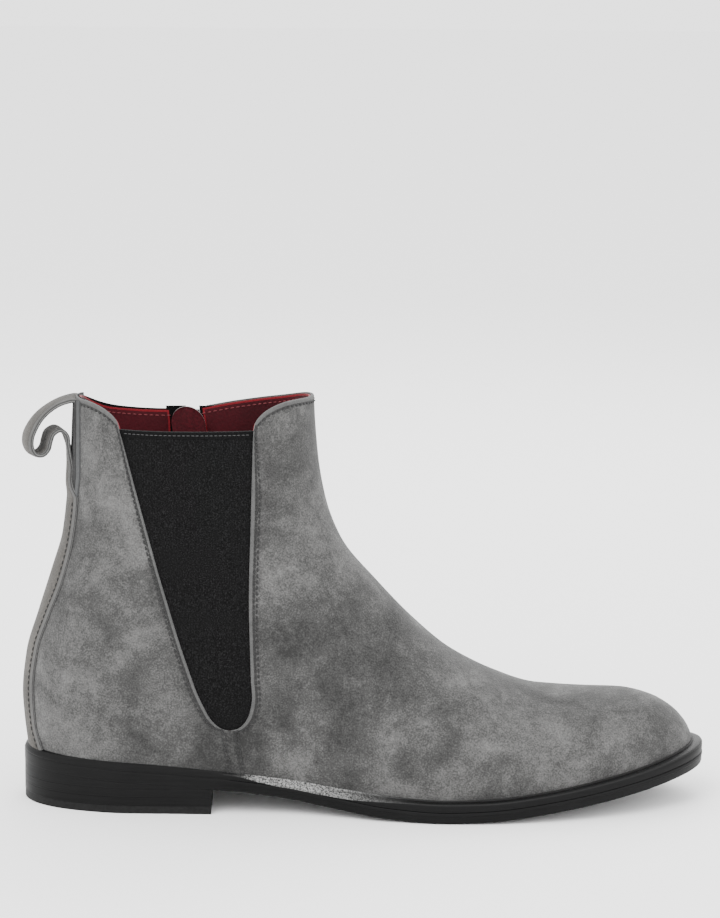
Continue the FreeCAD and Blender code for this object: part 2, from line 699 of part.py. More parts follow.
# the slider, about its own middle
long, wide = size("slider_long") / 2, size("slider_wide") / 2
wingThick, flange = 1.2, 0.6
topWing = toothMid + toothHalf + air
lowWing = toothMid - toothHalf - air
tapeTop, tapeLow = tapeLevel + air, tapeLevel - size("tape_thick") - air
hingeY, hingeZ = topWing + wingThick + 1.45, -1.5
eyeRadius = 1.15
crownHalf = 1.0
wings = [box("wing_top", (-wide, topWing, -long), (wide, topWing + wingThick, long)),
         box("wing_low", (-wide, lowWing - wingThick, -long), (wide, lowWing, long)),
         box("slider_post", (-postWay + air, lowWing, 1.8), (postWay - air, topWing, 4.6)),
         box("crown", (-crownHalf, topWing + wingThick, -3.9), (crownHalf, topWing + wingThick + 3.2, 3.4))]
for k, x in enumerate((-wide, wide - flange)):
    wings.append(box(f"flange_top_{k}", (x, tapeTop, -long), (x + flange, topWing, long)))
    wings.append(box(f"flange_low_{k}", (x, lowWing, -long), (x + flange, tapeLow, long)))
eye = doc.addObject("Part::Cylinder", "crown_eye")
eye.Radius = eyeRadius
eye.Height = 4 * crownHalf
eye.Placement = Placement(Vector(-2 * crownHalf, hingeY, hingeZ), Rotation(Vector(0, 1, 0), 90))
slider = cut("slider_part", fuse("slider_blank", wings), eye)
inZip(slider, "zip_slider")
sliderPlace = zipPlace.multiply(Placement(Vector(0, 0, -size("slider_start")), level))
slider.Placement = sliderPlace

# the puller: a plate whose top bar turns in the crown's eye
pullWide, pullLong, plateHalf = size("puller_wide") / 2, size("puller_long"), 0.6
body = doc.addObject("PartDesign::Body", "puller_body")
sketch = body.newObject("Sketcher::SketchObject", "puller_sketch")
sketch.AttachmentSupport = [([f for f in body.Origin.OriginFeatures if f.Role == "XY_Plane"][0], "")]
sketch.MapMode = "FlatFace"


def loopLines(corners):
    points = [Vector(x, y, 0) for x, y in corners]
    for a, b in zip(points, points[1:] + points[:1]):
        sketch.addGeometry(Part.LineSegment(a, b), False)


barHalf, frameHalf = 0.6, 1.4
tipWide = pullWide * 0.72
loopLines([(-pullWide, barHalf), (pullWide, barHalf), (pullWide, -pullLong * 0.6), (tipWide, -pullLong),
           (-tipWide, -pullLong), (-pullWide, -pullLong * 0.6)])
loopLines([(-frameHalf, -barHalf), (frameHalf, -barHalf), (frameHalf, -7.2), (-frameHalf, -7.2)])
pad = body.newObject("PartDesign::Pad", "puller_pad")
pad.Profile = sketch
pad.Length = 2 * plateHalf
pad.SideType = "Symmetric"
inZip(body, "zip_puller")
body.Placement = sliderPlace.multiply(Placement(Vector(0, hingeY, hingeZ), Rotation(Vector(1, 0, 0), 90)))

# the guard: a tongue behind the zip, sewn along its front edge
guardHalf, guardTop, guardLow = 11.0, -0.4, -124.0
guardOut, guardThick, footWide, footOut = -5.0, 1.2, 2.0, -3.5
body = doc.addObject("PartDesign::Body", "guard_body")
sketch = body.newObject("Sketcher::SketchObject", "guard_sketch")
sketch.AttachmentSupport = [([f for f in body.Origin.OriginFeatures if f.Role == "XY_Plane"][0], "")]
sketch.MapMode = "FlatFace"
guardRound = 9.0
sketch.addGeometry(Part.LineSegment(Vector(-guardHalf, guardTop - guardRound, 0), Vector(-guardHalf, guardLow, 0)), False)
sketch.addGeometry(Part.LineSegment(Vector(-guardHalf, guardLow, 0), Vector(guardHalf, guardLow, 0)), False)
sketch.addGeometry(Part.LineSegment(Vector(guardHalf, guardLow, 0), Vector(guardHalf, guardTop - guardRound, 0)), False)
sketch.addGeometry(Part.Arc(Vector(guardHalf, guardTop - guardRound, 0), Vector(0, guardTop, 0),
                            Vector(-guardHalf, guardTop - guardRound, 0)), False)
pad = body.newObject("PartDesign::Pad", "guard_pad")
pad.Profile = sketch
pad.Length = guardThick
body.Placement = zipPlace.multiply(Placement(Vector(0, guardOut, 0), Rotation(Vector(1, 0, 0), 90)))
foot = box("guard_foot", (0, 0, 0), (footWide, footOut - guardOut, guardTop - 2 * guardRound - guardLow))
foot.Placement = zipPlace.multiply(Placement(Vector(guardHalf - footWide, guardOut, guardLow), level))
guard = fuse("guard_part", [body, foot])
guard.Label = "zip_guard"
subparts.append(guard)


doc.recompute()
for thing in doc.Objects:
    if "Invalid" in thing.State or "Error" in thing.State:
        raise RuntimeError(f"{thing.Label} failed: {thing.State}")
for part in subparts:
    if part.Shape.isNull() or not part.Shape.isValid():
        raise RuntimeError(f"{part.Label} has no valid shape")
    print(part.Label, part.Shape.isValid(), len(part.Shape.Solids), round(part.Shape.Volume))
os.makedirs("parts", exist_ok=True)
for part in subparts:
    part.Shape.exportStep(f"parts/{part.Label}.step")
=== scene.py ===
import json
import math
import bpy
import numpy as np
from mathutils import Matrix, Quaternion, Vector


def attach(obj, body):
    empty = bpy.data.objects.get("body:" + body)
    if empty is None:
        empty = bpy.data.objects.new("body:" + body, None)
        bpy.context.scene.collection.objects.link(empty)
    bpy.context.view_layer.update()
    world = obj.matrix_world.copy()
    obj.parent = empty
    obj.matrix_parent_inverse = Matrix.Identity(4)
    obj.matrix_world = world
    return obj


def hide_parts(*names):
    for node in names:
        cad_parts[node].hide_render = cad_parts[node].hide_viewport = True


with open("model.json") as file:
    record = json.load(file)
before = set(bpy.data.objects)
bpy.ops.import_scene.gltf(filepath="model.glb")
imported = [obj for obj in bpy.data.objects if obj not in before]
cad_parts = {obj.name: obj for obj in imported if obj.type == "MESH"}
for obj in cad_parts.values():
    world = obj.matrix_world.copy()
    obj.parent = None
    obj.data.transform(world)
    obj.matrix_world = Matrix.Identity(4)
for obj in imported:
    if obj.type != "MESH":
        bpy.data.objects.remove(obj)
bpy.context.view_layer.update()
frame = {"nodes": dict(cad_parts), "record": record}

# All sizes below are millimetres. X starts at the back of the heel and runs to the toe,
# +Y is the inner side of the right foot, Z is height. toFrame() turns them into the frame's metres.
originX = 151.0
inner, outer = 1, -1
body = "boot"


def toFrame(points):
    return (np.asarray(points, float) - (originX, 0, 0)) * 0.001


# curves

def smoothLine(points):  # a smooth line through (position, value) points, without overshoot
    xs, ys = np.array(points, float).T
    slopes = np.diff(ys) / np.diff(xs)
    a, b = slopes[:-1], slopes[1:]
    total = np.where(a + b == 0, 1, a + b)
    tangents = np.concatenate([slopes[:1], np.where(a * b > 0, 2 * a * b / total, 0), slopes[-1:]])

    def value(x):
        x = np.clip(x, xs[0], xs[-1])
        i = np.clip(np.searchsorted(xs, x, side="right") - 1, 0, len(xs) - 2)
        span = xs[i + 1] - xs[i]
        u = (x - xs[i]) / span
        return ((1 + 2 * u) * (1 - u) ** 2 * ys[i] + u * (1 - u) ** 2 * span * tangents[i]
                + u * u * (3 - 2 * u) * ys[i + 1] + u * u * (u - 1) * span * tangents[i + 1])
    return value


def smoothRun(points, shares):  # positions along a smooth curve through points, by share of its length
    points = np.array(points, float)
    if len(points) == 2:
        return points[0] + (points[1] - points[0]) * np.asarray(shares)[:, None]
    ends = np.vstack([2 * points[0] - points[1], points, 2 * points[-1] - points[-2]])
    dense = []
    for p0, p1, p2, p3 in zip(ends, ends[1:], ends[2:], ends[3:]):
        d1, d2, d3 = (max(np.linalg.norm(b - a), 1e-6) for a, b in ((p0, p1), (p1, p2), (p2, p3)))
        m1 = ((p1 - p0) / d1 * d2 + (p2 - p1) / d2 * d1) / (d1 + d2) * d2
        m2 = ((p2 - p1) / d2 * d3 + (p3 - p2) / d3 * d2) / (d2 + d3) * d2
        u = np.linspace(0, 1, 24, endpoint=False)[:, None]
        dense.append((1 + 2 * u) * (1 - u) ** 2 * p1 + u * (1 - u) ** 2 * m1
                     + u * u * (3 - 2 * u) * p2 + u * u * (u - 1) * m2)
    dense = np.vstack(dense + [points[-1:]])
    length = np.concatenate([[0], np.cumsum(np.linalg.norm(np.diff(dense, axis=0), axis=1))])
    at = np.asarray(shares) * length[-1]
    return np.stack([np.interp(at, length, dense[:, k]) for k in range(dense.shape[1])], axis=1)


def mix(a, b, share):
    return a + (b - a) * share


def ramp(x, low, high):
    u = np.clip((x - low) / (high - low), 0, 1)
    return u * u * (3 - 2 * u)


def roundOff(u, power):
    u = np.clip(u, 0, 1)
    return np.sqrt(np.maximum(1 - (1 - u) ** power, 0))


# the last: the upper's outside as a half width over the side view

last = {
    "toeEnd": 300.2, "shaftReach": 57.0, "heelReach": 46.0, "toeReachOuter": 104.0, "toeReachInner": 84.0,
    "zipWall": 35.5,
}
feather = smoothLine([(0, 24.8), (47, 23.0), (93, 18.9), (123, 15.2), (150, 11.9), (185, 9.6), (205, 10.1),
                      (230, 12.7), (255, 16.6), (278, 20.9), (300, 26.0)])
soleBottom = smoothLine([(-2, 17.0), (84, 11.4), (112, 8.3), (140, 4.0), (165, 1.0), (185, 0.0), (205, 0.7),
                         (235, 4.2), (270, 9.8), (305, 16.8)])
backLine = smoothLine([(24, 2.1), (38, 0.5), (48, -0.1), (66, 1.7), (84, 7.0), (103, 13.0), (121, 18.4),
                       (136, 21.0), (158, 21.9), (183, 23.0), (206, 24.5)])
ridge = [(128.0, 206), (128.5, 182), (130.2, 158), (134.0, 136), (141.5, 117.5), (157.0, 99), (174.5, 80.7),
         (190.5, 67.3), (210.0, 57.0), (231.0, 50.2), (250.0, 49.0), (268.0, 48.5), (281.0, 45.6),
         (291.5, 39.7), (297.6, 33.0), (last["toeEnd"], 26.0), (last["toeEnd"] + 0.01, -8)]
ridgeAlong = np.concatenate([[0], np.cumsum(np.linalg.norm(np.diff(np.array(ridge), axis=0), axis=1))])
ridgeX = smoothLine(list(zip(ridgeAlong, [p[0] for p in ridge])))
ridgeZ = smoothLine(list(zip(ridgeAlong, [p[1] for p in ridge])))
ridgeTop = smoothLine(ridge)
ridgeStations = np.linspace(0, ridgeAlong[-1], 150)
ridgeLine = np.stack([ridgeX(ridgeStations), ridgeZ(ridgeStations)], axis=1)
footOuter = smoothLine([(0, 33.5), (50, 34.5), (84, 35.0), (115, 34.6), (140, 38.5), (165, 44.0), (190, 47.4),
                        (215, 47.8), (300, 46.0)])
footInner = smoothLine([(0, 34.0), (60, 35.5), (96, 35.5), (125, 33.0), (150, 35.0), (180, 42.0), (212, 46.6),
                        (240, 46.0), (300, 44.0)])
shaftOuter = smoothLine([(20, 34.5), (48, 35.8), (85, 35.0), (115, 34.4), (150, 35.4), (175, 36.0)])
toeSwing = smoothLine([(120, 0.0), (210, 1.2), (300, 4.5)])


def ridgeGap(x, z):  # distance to the front line
    flat = np.stack([np.ravel(x), np.ravel(z)], axis=1)
    a, b = ridgeLine[:-1], ridgeLine[1:]
    way = b - a
    gaps = []
    for part in np.array_split(flat, max(1, len(flat) // 8000)):
        rel = part[:, None, :] - a[None]
        u = np.clip((rel * way).sum(-1) / (way * way).sum(-1), 0, 1)
        gaps.append(np.sqrt((((rel - u[..., None] * way) ** 2).sum(-1)).min(axis=1)))
    return np.concatenate(gaps).reshape(np.shape(x))


def halfWidth(x, z, side):
    x, z = np.broadcast_arrays(np.asarray(x, float), np.asarray(z, float))
    z = np.maximum(z, feather(x))
    foot, shaft, reach = footOuter(x), shaftOuter(z), last["toeReachOuter"]
    if side == inner:
        foot, shaft, reach = footInner(x), last["zipWall"], last["toeReachInner"]
    front = ramp(x, 150, 205)
    top = ridgeTop(x)
    depth = mix(ridgeGap(x, z), np.maximum(top - z, 0), front)
    crown = roundOff(depth / mix(last["shaftReach"], np.maximum(top - feather(x), 1), front), 2.4)
    flank = mix(foot, shaft, ramp(z, 32, 95))
    tuck = 1 - 0.045 * np.exp(-(z - feather(x)) / 6.0)
    heel = roundOff((x - backLine(z)) / last["heelReach"], 1.9)
    return flank * tuck * crown * heel * roundOff((last["toeEnd"] - x) / reach, 2.1)


def wall(run, side):  # side view positions (..., 2) raised to the upper's outside (..., 3)
    x, z = run[..., 0], run[..., 1]
    return np.stack([x, toeSwing(x) + side * halfWidth(x, z, side), z], axis=-1)


# panels: grids of points in the side view between four edges

def joined(*runs):  # an edge made of several runs, each taking its own share of the parameter
    parts = [(smoothRun(points, np.linspace(0, 1, 200)), share) for points, share in runs]
    at = np.concatenate([np.linspace(0, share, 200) for _, share in parts[:1]]
                        + [np.linspace(a[1], b[1], 200) for a, b in zip(parts, parts[1:])])
    spots = np.vstack([p for p, _ in parts])
    return lambda u: np.stack([np.interp(u, at, spots[:, 0]), np.interp(u, at, spots[:, 1])], axis=-1)


def between(top, bottom, left, right):  # the side view position at share s across and t down
    corner = [top(0.0), top(1.0), bottom(0.0), bottom(1.0)]

    def at(s, t):
        s1, t1 = s[..., None], t[..., None]
        flat = ((1 - s1) * (1 - t1) * corner[0] + s1 * (1 - t1) * corner[1]
                + (1 - s1) * t1 * corner[2] + s1 * t1 * corner[3])
        return (1 - t1) * top(s) + t1 * bottom(s) + (1 - s1) * left(t) + s1 * right(t) - flat
    return at


nearEdge = [0, 0.12, 0.3, 0.55, 0.85, 1.25, 1.7, 2.3, 3.1, 4.2]  # mm from a free edge
firstRow = 0.035  # share of a panel's height where its even rows start


def layOut(at, side, columns, rows):  # a panel's grid, in true mm by its left and top edges
    fine = 1 - (1 - np.linspace(0, 1, 400)) ** 2
    shares = np.linspace(0, 1, columns)
    t = np.concatenate([np.zeros(len(nearEdge)), np.linspace(firstRow, 1, rows)])
    s = np.zeros((len(t), len(nearEdge) + columns - 1))
    for j, tj in enumerate(t):
        line = wall(at(fine, np.full_like(fine, tj)), side)
        length = np.concatenate([[0], np.cumsum(np.linalg.norm(np.diff(line, axis=0), axis=1))])
        first = nearEdge[-1]
        stations = np.concatenate([nearEdge, first + shares[1:] * max(length[-1] - first, 1)])
        s[j] = np.interp(stations, length, fine)
    # mm steps below the top edge
    tall = np.repeat(t[:, None], s.shape[1], axis=1)
    down = np.linspace(0, 0.05, 12)
    for k in range(s.shape[1]):
        line = wall(at(np.full_like(down, s[0, k]), down), side)
        length = np.concatenate([[0], np.cumsum(np.linalg.norm(np.diff(line, axis=0), axis=1))])
        tall[:len(nearEdge), k] = np.interp(nearEdge, length, down)
    grid = wall(at(s, tall), side)
    grid[:, -1, 1] = toeSwing(grid[:, -1, 0])  # both halves meet on the centre line
    return grid


def arcs(grid, axis, reverse=False):
    steps = np.linalg.norm(np.diff(grid, axis=axis), axis=-1)
    if reverse:
        steps = np.flip(steps, axis)
    pad = [(0, 0), (0, 0)]
    pad[axis] = (1, 0)
    total = np.pad(np.cumsum(steps, axis=axis), pad)
    return np.flip(total, axis) if reverse else total


def outwards(grid):
    ahead = np.gradient(grid, axis=1)
    down = np.gradient(grid, axis=0)
    normal = np.cross(ahead, down)
    normal /= np.maximum(np.linalg.norm(normal, axis=-1, keepdims=True), 1e-9)
    spine = np.stack([np.clip(grid[..., 0], 70, 240), 0 * grid[..., 0], np.clip(grid[..., 2], 15, 25)
                      + 150 * ramp(140 - grid[..., 0], 0, 60)], axis=-1)
    flip = np.sign((normal * (grid - spine)).sum(-1).mean())
    return normal * flip


# meshes

def newMesh(name, points, faces, materials, mats=None, values=None, sharp=45):
    mesh = bpy.data.meshes.new(name)
    mesh.from_pydata(toFrame(points).tolist(), [], [tuple(map(int, f)) for f in faces])
    for one in materials:
        mesh.materials.append(one)
    if mats is not None:
        mesh.polygons.foreach_set("material_index", np.asarray(mats, dtype=np.int32))
    for key, data in (values or {}).items():
        layer = mesh.attributes.new(key, "FLOAT", "POINT")
        layer.data.foreach_set("value", np.asarray(data, dtype=np.float32).ravel())
    turnOut(mesh)
    mesh.polygons.foreach_set("use_smooth", [True] * len(mesh.polygons))
    mesh.set_sharp_from_angle(angle=math.radians(sharp))
    piece = bpy.data.objects.new(name, mesh)
    bpy.context.scene.collection.objects.link(piece)
    return piece


def turnOut(mesh):  # faces outwards, by the sign of the enclosed volume
    mesh.calc_loop_triangles()
    tris = np.empty(len(mesh.loop_triangles) * 3, dtype=np.int32)
    mesh.loop_triangles.foreach_get("vertices", tris)
    spots = np.empty(len(mesh.vertices) * 3)
    mesh.vertices.foreach_get("co", spots)
    spots = spots.reshape(-1, 3) - spots.reshape(-1, 3).mean(0)
    a, b, c = (spots[tris.reshape(-1, 3)[:, k]] for k in range(3))
    if np.einsum("ij,ij->i", a, np.cross(b, c)).sum() < 0:
        mesh.flip_normals()


def gridFaces(rows, cols, start=0):
    j, k = np.meshgrid(np.arange(rows - 1), np.arange(cols - 1), indexing="ij")
    corner = start + j * cols + k
    return np.stack([corner, corner + 1, corner + cols + 1, corner + cols], -1).reshape(-1, 4)


def rim(rows, cols):  # the grid's border, once round
    rightSide = np.arange(1, rows) * cols + cols - 1
    lowSide = (rows - 1) * cols + np.arange(cols - 2, -1, -1)
    leftSide = np.arange(rows - 2, 0, -1) * cols
    return np.concatenate([np.arange(cols), rightSide, lowSide, leftSide])


# a closed sheet between two depths under a grid; its border may be cut into bands of several materials
def shell(name, grid, normal, front, back, materials, values=None, bands=1, mats=(0,), shown=()):
    rows, cols = grid.shape[:2]
    points = [(grid + normal * depth[..., None]).reshape(-1, 3) for depth in (front, back)]
    count = rows * cols
    border = rim(rows, cols)
    faces = [gridFaces(rows, cols), gridFaces(rows, cols, count)[:, ::-1]]
    index = [np.zeros(len(faces[0])), np.zeros(len(faces[1]))]
    rings = [border]
    for k in range(1, bands):
        rings.append(len(np.vstack(points)) + np.arange(len(border)))
        points.append(mix(points[0][border], points[1][border], k / bands))
    rings.append(border + count)
    for k, (p, q) in enumerate(zip(rings, rings[1:])):
        pn, qn = np.roll(p, -1), np.roll(q, -1)
        faces.append(np.stack([p, q, qn, pn], -1))
        index.append(np.full(len(p), mats[k]))
    total = len(np.vstack(points))
    data = {}
    for key, field in (values or {}).items():
        field = np.broadcast_to(field, (rows, cols)).ravel()
        full = np.zeros(total)
        full[:count] = field
        full[count:2 * count] = field
        full[2 * count:] = np.tile(field[border], bands - 1)
        data[key] = full
    piece = newMesh(name, np.vstack(points), np.concatenate(faces), materials, np.concatenate(index), data)
    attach(piece, body)
    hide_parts(*shown)


def sweep(name, rings, materials, shown, mats=None, values=None):  # a band through rings, ends capped
    stations, around = rings.shape[:2]
    faces, index = [], []
    for k in range(stations - 1):
        here, there = k * around, (k + 1) * around
        for c in range(around):
            d = (c + 1) % around
            faces.append((here + c, there + c, there + d, here + d))
            index.append(mats[c] if mats else 0)
    count = stations * around
    faces += [tuple(range(around)), tuple(range(count - 1, count - around - 1, -1))]
    index += [0, 0]
    piece = newMesh(name, rings.reshape(-1, 3), faces, materials, index, values)
    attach(piece, body)
    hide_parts(*shown)


# materials

class Value:  # shader maths written with ordinary operators
    def __init__(self, tree, socket):
        self.tree, self.socket = tree, socket

    def node(self, kind, settings=None, **inputs):
        made = self.tree.nodes.new(kind)
        for key, value in (settings or {}).items():
            setattr(made, key, value)
        for key, value in inputs.items():
            # _2 names a socket by its number, From_Min by its words
            at = made.inputs[int(key[1:]) if key[0] == "_" else key.replace("_", " ")]
            if isinstance(value, Value):
                self.tree.links.new(value.socket, at)
            else:
                at.default_value = value
        return made

    def math(self, operation, *values):
        inputs = {f"_{k}": v for k, v in enumerate(values)}
        return Value(self.tree, self.node("ShaderNodeMath", {"operation": operation}, **inputs).outputs[0])

    def __add__(self, other):
        return self.math("ADD", self, other)

    def __radd__(self, other):
        return self.math("ADD", other, self)

    def __sub__(self, other):
        return self.math("SUBTRACT", self, other)

    def __rsub__(self, other):
        return self.math("SUBTRACT", other, self)

    def __mul__(self, other):
        return self.math("MULTIPLY", self, other)

    def step(self, low, high):
        made = self.node("ShaderNodeMapRange", {"interpolation_type": "SMOOTHSTEP"}, Value=self,
                         From_Min=low, From_Max=high, To_Min=0.0, To_Max=1.0)
        return Value(self.tree, made.outputs[0])


def material(name, paint, colour=(0.5, 0.5, 0.5), roughness=0.6, **constants):
    made = bpy.data.materials.new(name)
    made.use_nodes = True
    tree = made.node_tree
    shader = tree.nodes["Principled BSDF"]
    shader.inputs["Base Color"].default_value = (*colour, 1)
    shader.inputs["Roughness"].default_value = roughness
    for key, value in constants.items():
        shader.inputs[key.replace("_", " ")].default_value = value
    if paint:
        coord = tree.nodes.new("ShaderNodeTexCoord")
        place = Value(tree, coord.outputs["Object"])
        results = paint(place)
        for key, value in results.items():
            tree.links.new(value.socket, shader.inputs[key])
    return made


def noise(place, scale, detail=3.0, rough=0.55, stretch=None, distortion=0.0):
    where = place
    if stretch:
        mapping = place.node("ShaderNodeMapping", None, Vector=place, Scale=stretch)
        where = Value(place.tree, mapping.outputs[0])
    made = place.node("ShaderNodeTexNoise", None, Vector=where, Scale=scale, Detail=detail, Roughness=rough,
                      Distortion=distortion)
    return Value(place.tree, made.outputs[0])


def tone(place, share, stops):  # a colour ramp over share
    made = place.node("ShaderNodeValToRGB", None, _0=share)
    band = made.color_ramp
    while len(band.elements) < len(stops):
        band.elements.new(1.0)
    for element, (at, colour) in zip(band.elements, stops):
        element.position = at
        element.color = (*colour, 1)
    return Value(place.tree, made.outputs[0])


def blendColour(place, share, low, high):
    made = place.node("ShaderNodeMix", {"data_type": "RGBA"}, _0=share, _6=low, _7=high)
    return Value(place.tree, made.outputs[2])


def bump(place, height, strength, distance):
    made = place.node("ShaderNodeBump", None, Strength=strength, Distance=distance, Height=height)
    return Value(place.tree, made.outputs[0])


def attribute(place, name):
    made = place.node("ShaderNodeAttribute", {"attribute_name": name})
    return Value(place.tree, made.outputs["Fac"])


def grey(v):
    return (v, v, v)


suedeLook = {
    "cloud": 17.0, "patch": 55.0, "nap": 300.0, "fibre": 1400.0,
    "dark": (0.020, 0.0198, 0.0195), "mid": (0.046, 0.0457, 0.0448), "light": (0.110, 0.1087, 0.1065),
    "edgeToneAndHighlight": (0.076, 0.076, 0.075), "bandWidth": 1.5,  # the paler folded edge, its own lighter tone and partly a painted highlight on the rounded edge; width in mm
}


def suedePaint(look):
    def paint(place):
        cloud = noise(place, look["cloud"], 3.0, 0.5, distortion=0.5)
        patches = noise(place, look["patch"], 3.0, 0.5, distortion=0.6)
        nap = noise(place, look["nap"], 2.0, 0.5)
        fibre = noise(place, look["fibre"], 2.0, 0.6)
        streaks = noise(place, 34.0, 4.0, 0.6, distortion=2.2)
        scuff = streaks.step(0.60, 0.70) * 0.05
        blend = cloud * 0.48 + patches * 0.40 + nap * 0.16 + fibre * 0.46 - 0.25 + scuff
        colour = tone(place, blend, [(0.34, look["dark"]), (0.50, look["mid"]), (0.68, look["light"])])
        edge = attribute(place, "edge")
        width = look["bandWidth"]
        # the pale band along free edges: partly the edge's own tone, partly a painted highlight where the
        # rounded edge meets the light
        band = 1.0 - edge.step(width - 0.25, width + 0.1)
        # painted shade: a dark line in the stitch groove just inside the pale edge band
        seamGrooveShade = edge.step(width - 0.1, width + 0.15) * (1.0 - edge.step(width + 0.8, width + 1.4))
        colour = blendColour(place, band * (0.45 + nap * 0.4), colour, (*look["edgeToneAndHighlight"], 1))
        colour = blendColour(place, seamGrooveShade * 0.65, colour, (*look["dark"], 1))
        height = patches * 0.3 + nap * 0.3 + fibre * 0.7 - band * 0.5
        return {"Base Color": colour, "Normal": bump(place, height, 0.6, 0.0007)}
    return paint


suede = material("suede", suedePaint(suedeLook), roughness=0.93, Sheen_Weight=0.12, Sheen_Roughness=0.45,
                 Specular_IOR_Level=0.12)
strapLook = dict(suedeLook, dark=(0.030, 0.028, 0.025), mid=(0.053, 0.049, 0.044),
                 light=(0.088, 0.082, 0.074), edgeToneAndHighlight=(0.085, 0.086, 0.086), bandWidth=1.9)
strapSuede = material("strap_suede", suedePaint(strapLook), roughness=0.93, Sheen_Weight=0.1,
                      Sheen_Roughness=0.45, Specular_IOR_Level=0.12)
# a darker copy of the suede for the tab: painted shade for the shadow the pull loop casts on it
tabShadedLook = dict(suedeLook, dark=(0.018, 0.018, 0.018), mid=(0.034, 0.034, 0.034), light=(0.06, 0.06, 0.06),
               edgeToneAndHighlight=(0.075, 0.077, 0.078), bandWidth=2.2)
tabShadedSuede = material("tab_suede_painted_shade", suedePaint(tabShadedLook), roughness=0.93, Specular_IOR_Level=0.1)


def elasticPaint(place):
    ribs = place.node("ShaderNodeTexWave", {"wave_type": "BANDS", "bands_direction": "X"}, Vector=place,
                      Scale=260.0, Distortion=1.2, Detail=1.0)
    ribs = Value(place.tree, ribs.outputs[1])
    speck = noise(place, 1900.0, 1.0, 0.6)
    stops = [(0.34, grey(0.0012)), (0.54, (0.0042, 0.0042, 0.0043)), (0.72, (0.012, 0.012, 0.0123))]
    colour = tone(place, speck * 0.97 + ribs * 0.03, stops)
    return {"Base Color": colour, "Normal": bump(place, ribs * 0.12 + speck * 0.6, 0.5, 0.0003)}


elastic = material("elastic", elasticPaint, roughness=0.9, Specular_IOR_Level=0.08)


def tapePaint(place):
    weave = noise(place, 1800.0, 2.0, 0.6)
    colour = tone(place, weave, [(0.35, grey(0.0012)), (0.7, (0.0045, 0.0045, 0.0047))])
    return {"Base Color": colour, "Normal": bump(place, weave, 0.5, 0.0003)}


blackTape = material("black_tape", tapePaint, roughness=0.85, Specular_IOR_Level=0.08)


liningLook = {"dark": (0.026, 0.0016, 0.0034), "light": (0.060, 0.0036, 0.0080),
              "cutEdge": (0.16, 0.007, 0.012)}


def liningPaint(place):
    grain = noise(place, 900.0, 3.0, 0.6)
    cloud = noise(place, 30.0, 3.0, 0.5)
    edge = attribute(place, "edge")
    face = tone(place, cloud * 0.6 + grain * 0.4, [(0.35, liningLook["dark"]), (0.7, liningLook["light"])])
    bright = 1.0 - edge.step(0.7, 1.0)
    colour = blendColour(place, bright, face, (*liningLook["cutEdge"], 1))
    return {"Base Color": colour, "Normal": bump(place, grain, 0.35, 0.0003)}


lining = material("lining_leather", liningPaint, roughness=0.5, Specular_IOR_Level=0.2)


def solePaint(place):
    cloud = noise(place, 55.0, 4.0, 0.6)
    lines = noise(place, 420.0, 3.0, 0.6, stretch=(0.06, 0.06, 2.6))
    colour = tone(place, cloud * 0.5 + lines * 0.5, [(0.30, grey(0.0010)), (0.72, (0.0040, 0.0040, 0.0041))])
    rough = 0.34 + cloud * 0.14 + lines * 0.10
    relief = bump(place, lines + cloud * 0.4, 0.30, 0.0004)
    return {"Base Color": colour, "Roughness": rough, "Normal": relief}


soleLeather = material("sole_leather", solePaint, roughness=0.4, Specular_IOR_Level=0.11)
weltLeather = material("welt_leather", solePaint, roughness=0.45, Specular_IOR_Level=0.11)


def weltTopPaint(place):
    speck = noise(place, 1500.0, 2.0, 0.6)
    fade = attribute(place, "silver")
    share = speck.step(0.30, 0.72) * fade
    colour = blendColour(place, share, (0.004, 0.004, 0.004, 1), (0.27, 0.27, 0.265, 1))
    return {"Base Color": colour, "Roughness": 0.42 + share * 0.3, "Normal": bump(place, speck, 0.5, 0.0004)}


weltTop = material("welt_top", weltTopPaint, roughness=0.5, Specular_IOR_Level=0.16)


def rubberPaint(place):
    grain = noise(place, 700.0, 3.0, 0.6)
    return {"Base Color": tone(place, grain, [(0.3, grey(0.002)), (0.7, grey(0.007))]),
            "Normal": bump(place, grain, 0.3, 0.0003)}


topRubber = material("top_piece_rubber", rubberPaint, roughness=0.6, Specular_IOR_Level=0.16)


def metalPaint(place):
    rub = noise(place, 500.0, 3.0, 0.6)
    colour = tone(place, rub, [(0.3, grey(0.13)), (0.7, grey(0.22))])
    return {"Roughness": 0.22 + rub * 0.2, "Base Color": colour}


zipMetal = material("zip_metal", metalPaint, roughness=0.3, Metallic=1.0)
steel = material("steel", metalPaint, roughness=0.35, Metallic=1.0)


def plainPaint(dark, light, scale):
    def paint(place):
        grain = noise(place, scale, 3.0, 0.6)
        colour = tone(place, grain, [(0.3, dark), (0.7, light)])
        return {"Base Color": colour, "Normal": bump(place, grain, 0.3, 0.0004)}
    return paint


def plain(name, dark, light, scale, roughness, **constants):
    return material(name, plainPaint(dark, light, scale), roughness=roughness, **constants)


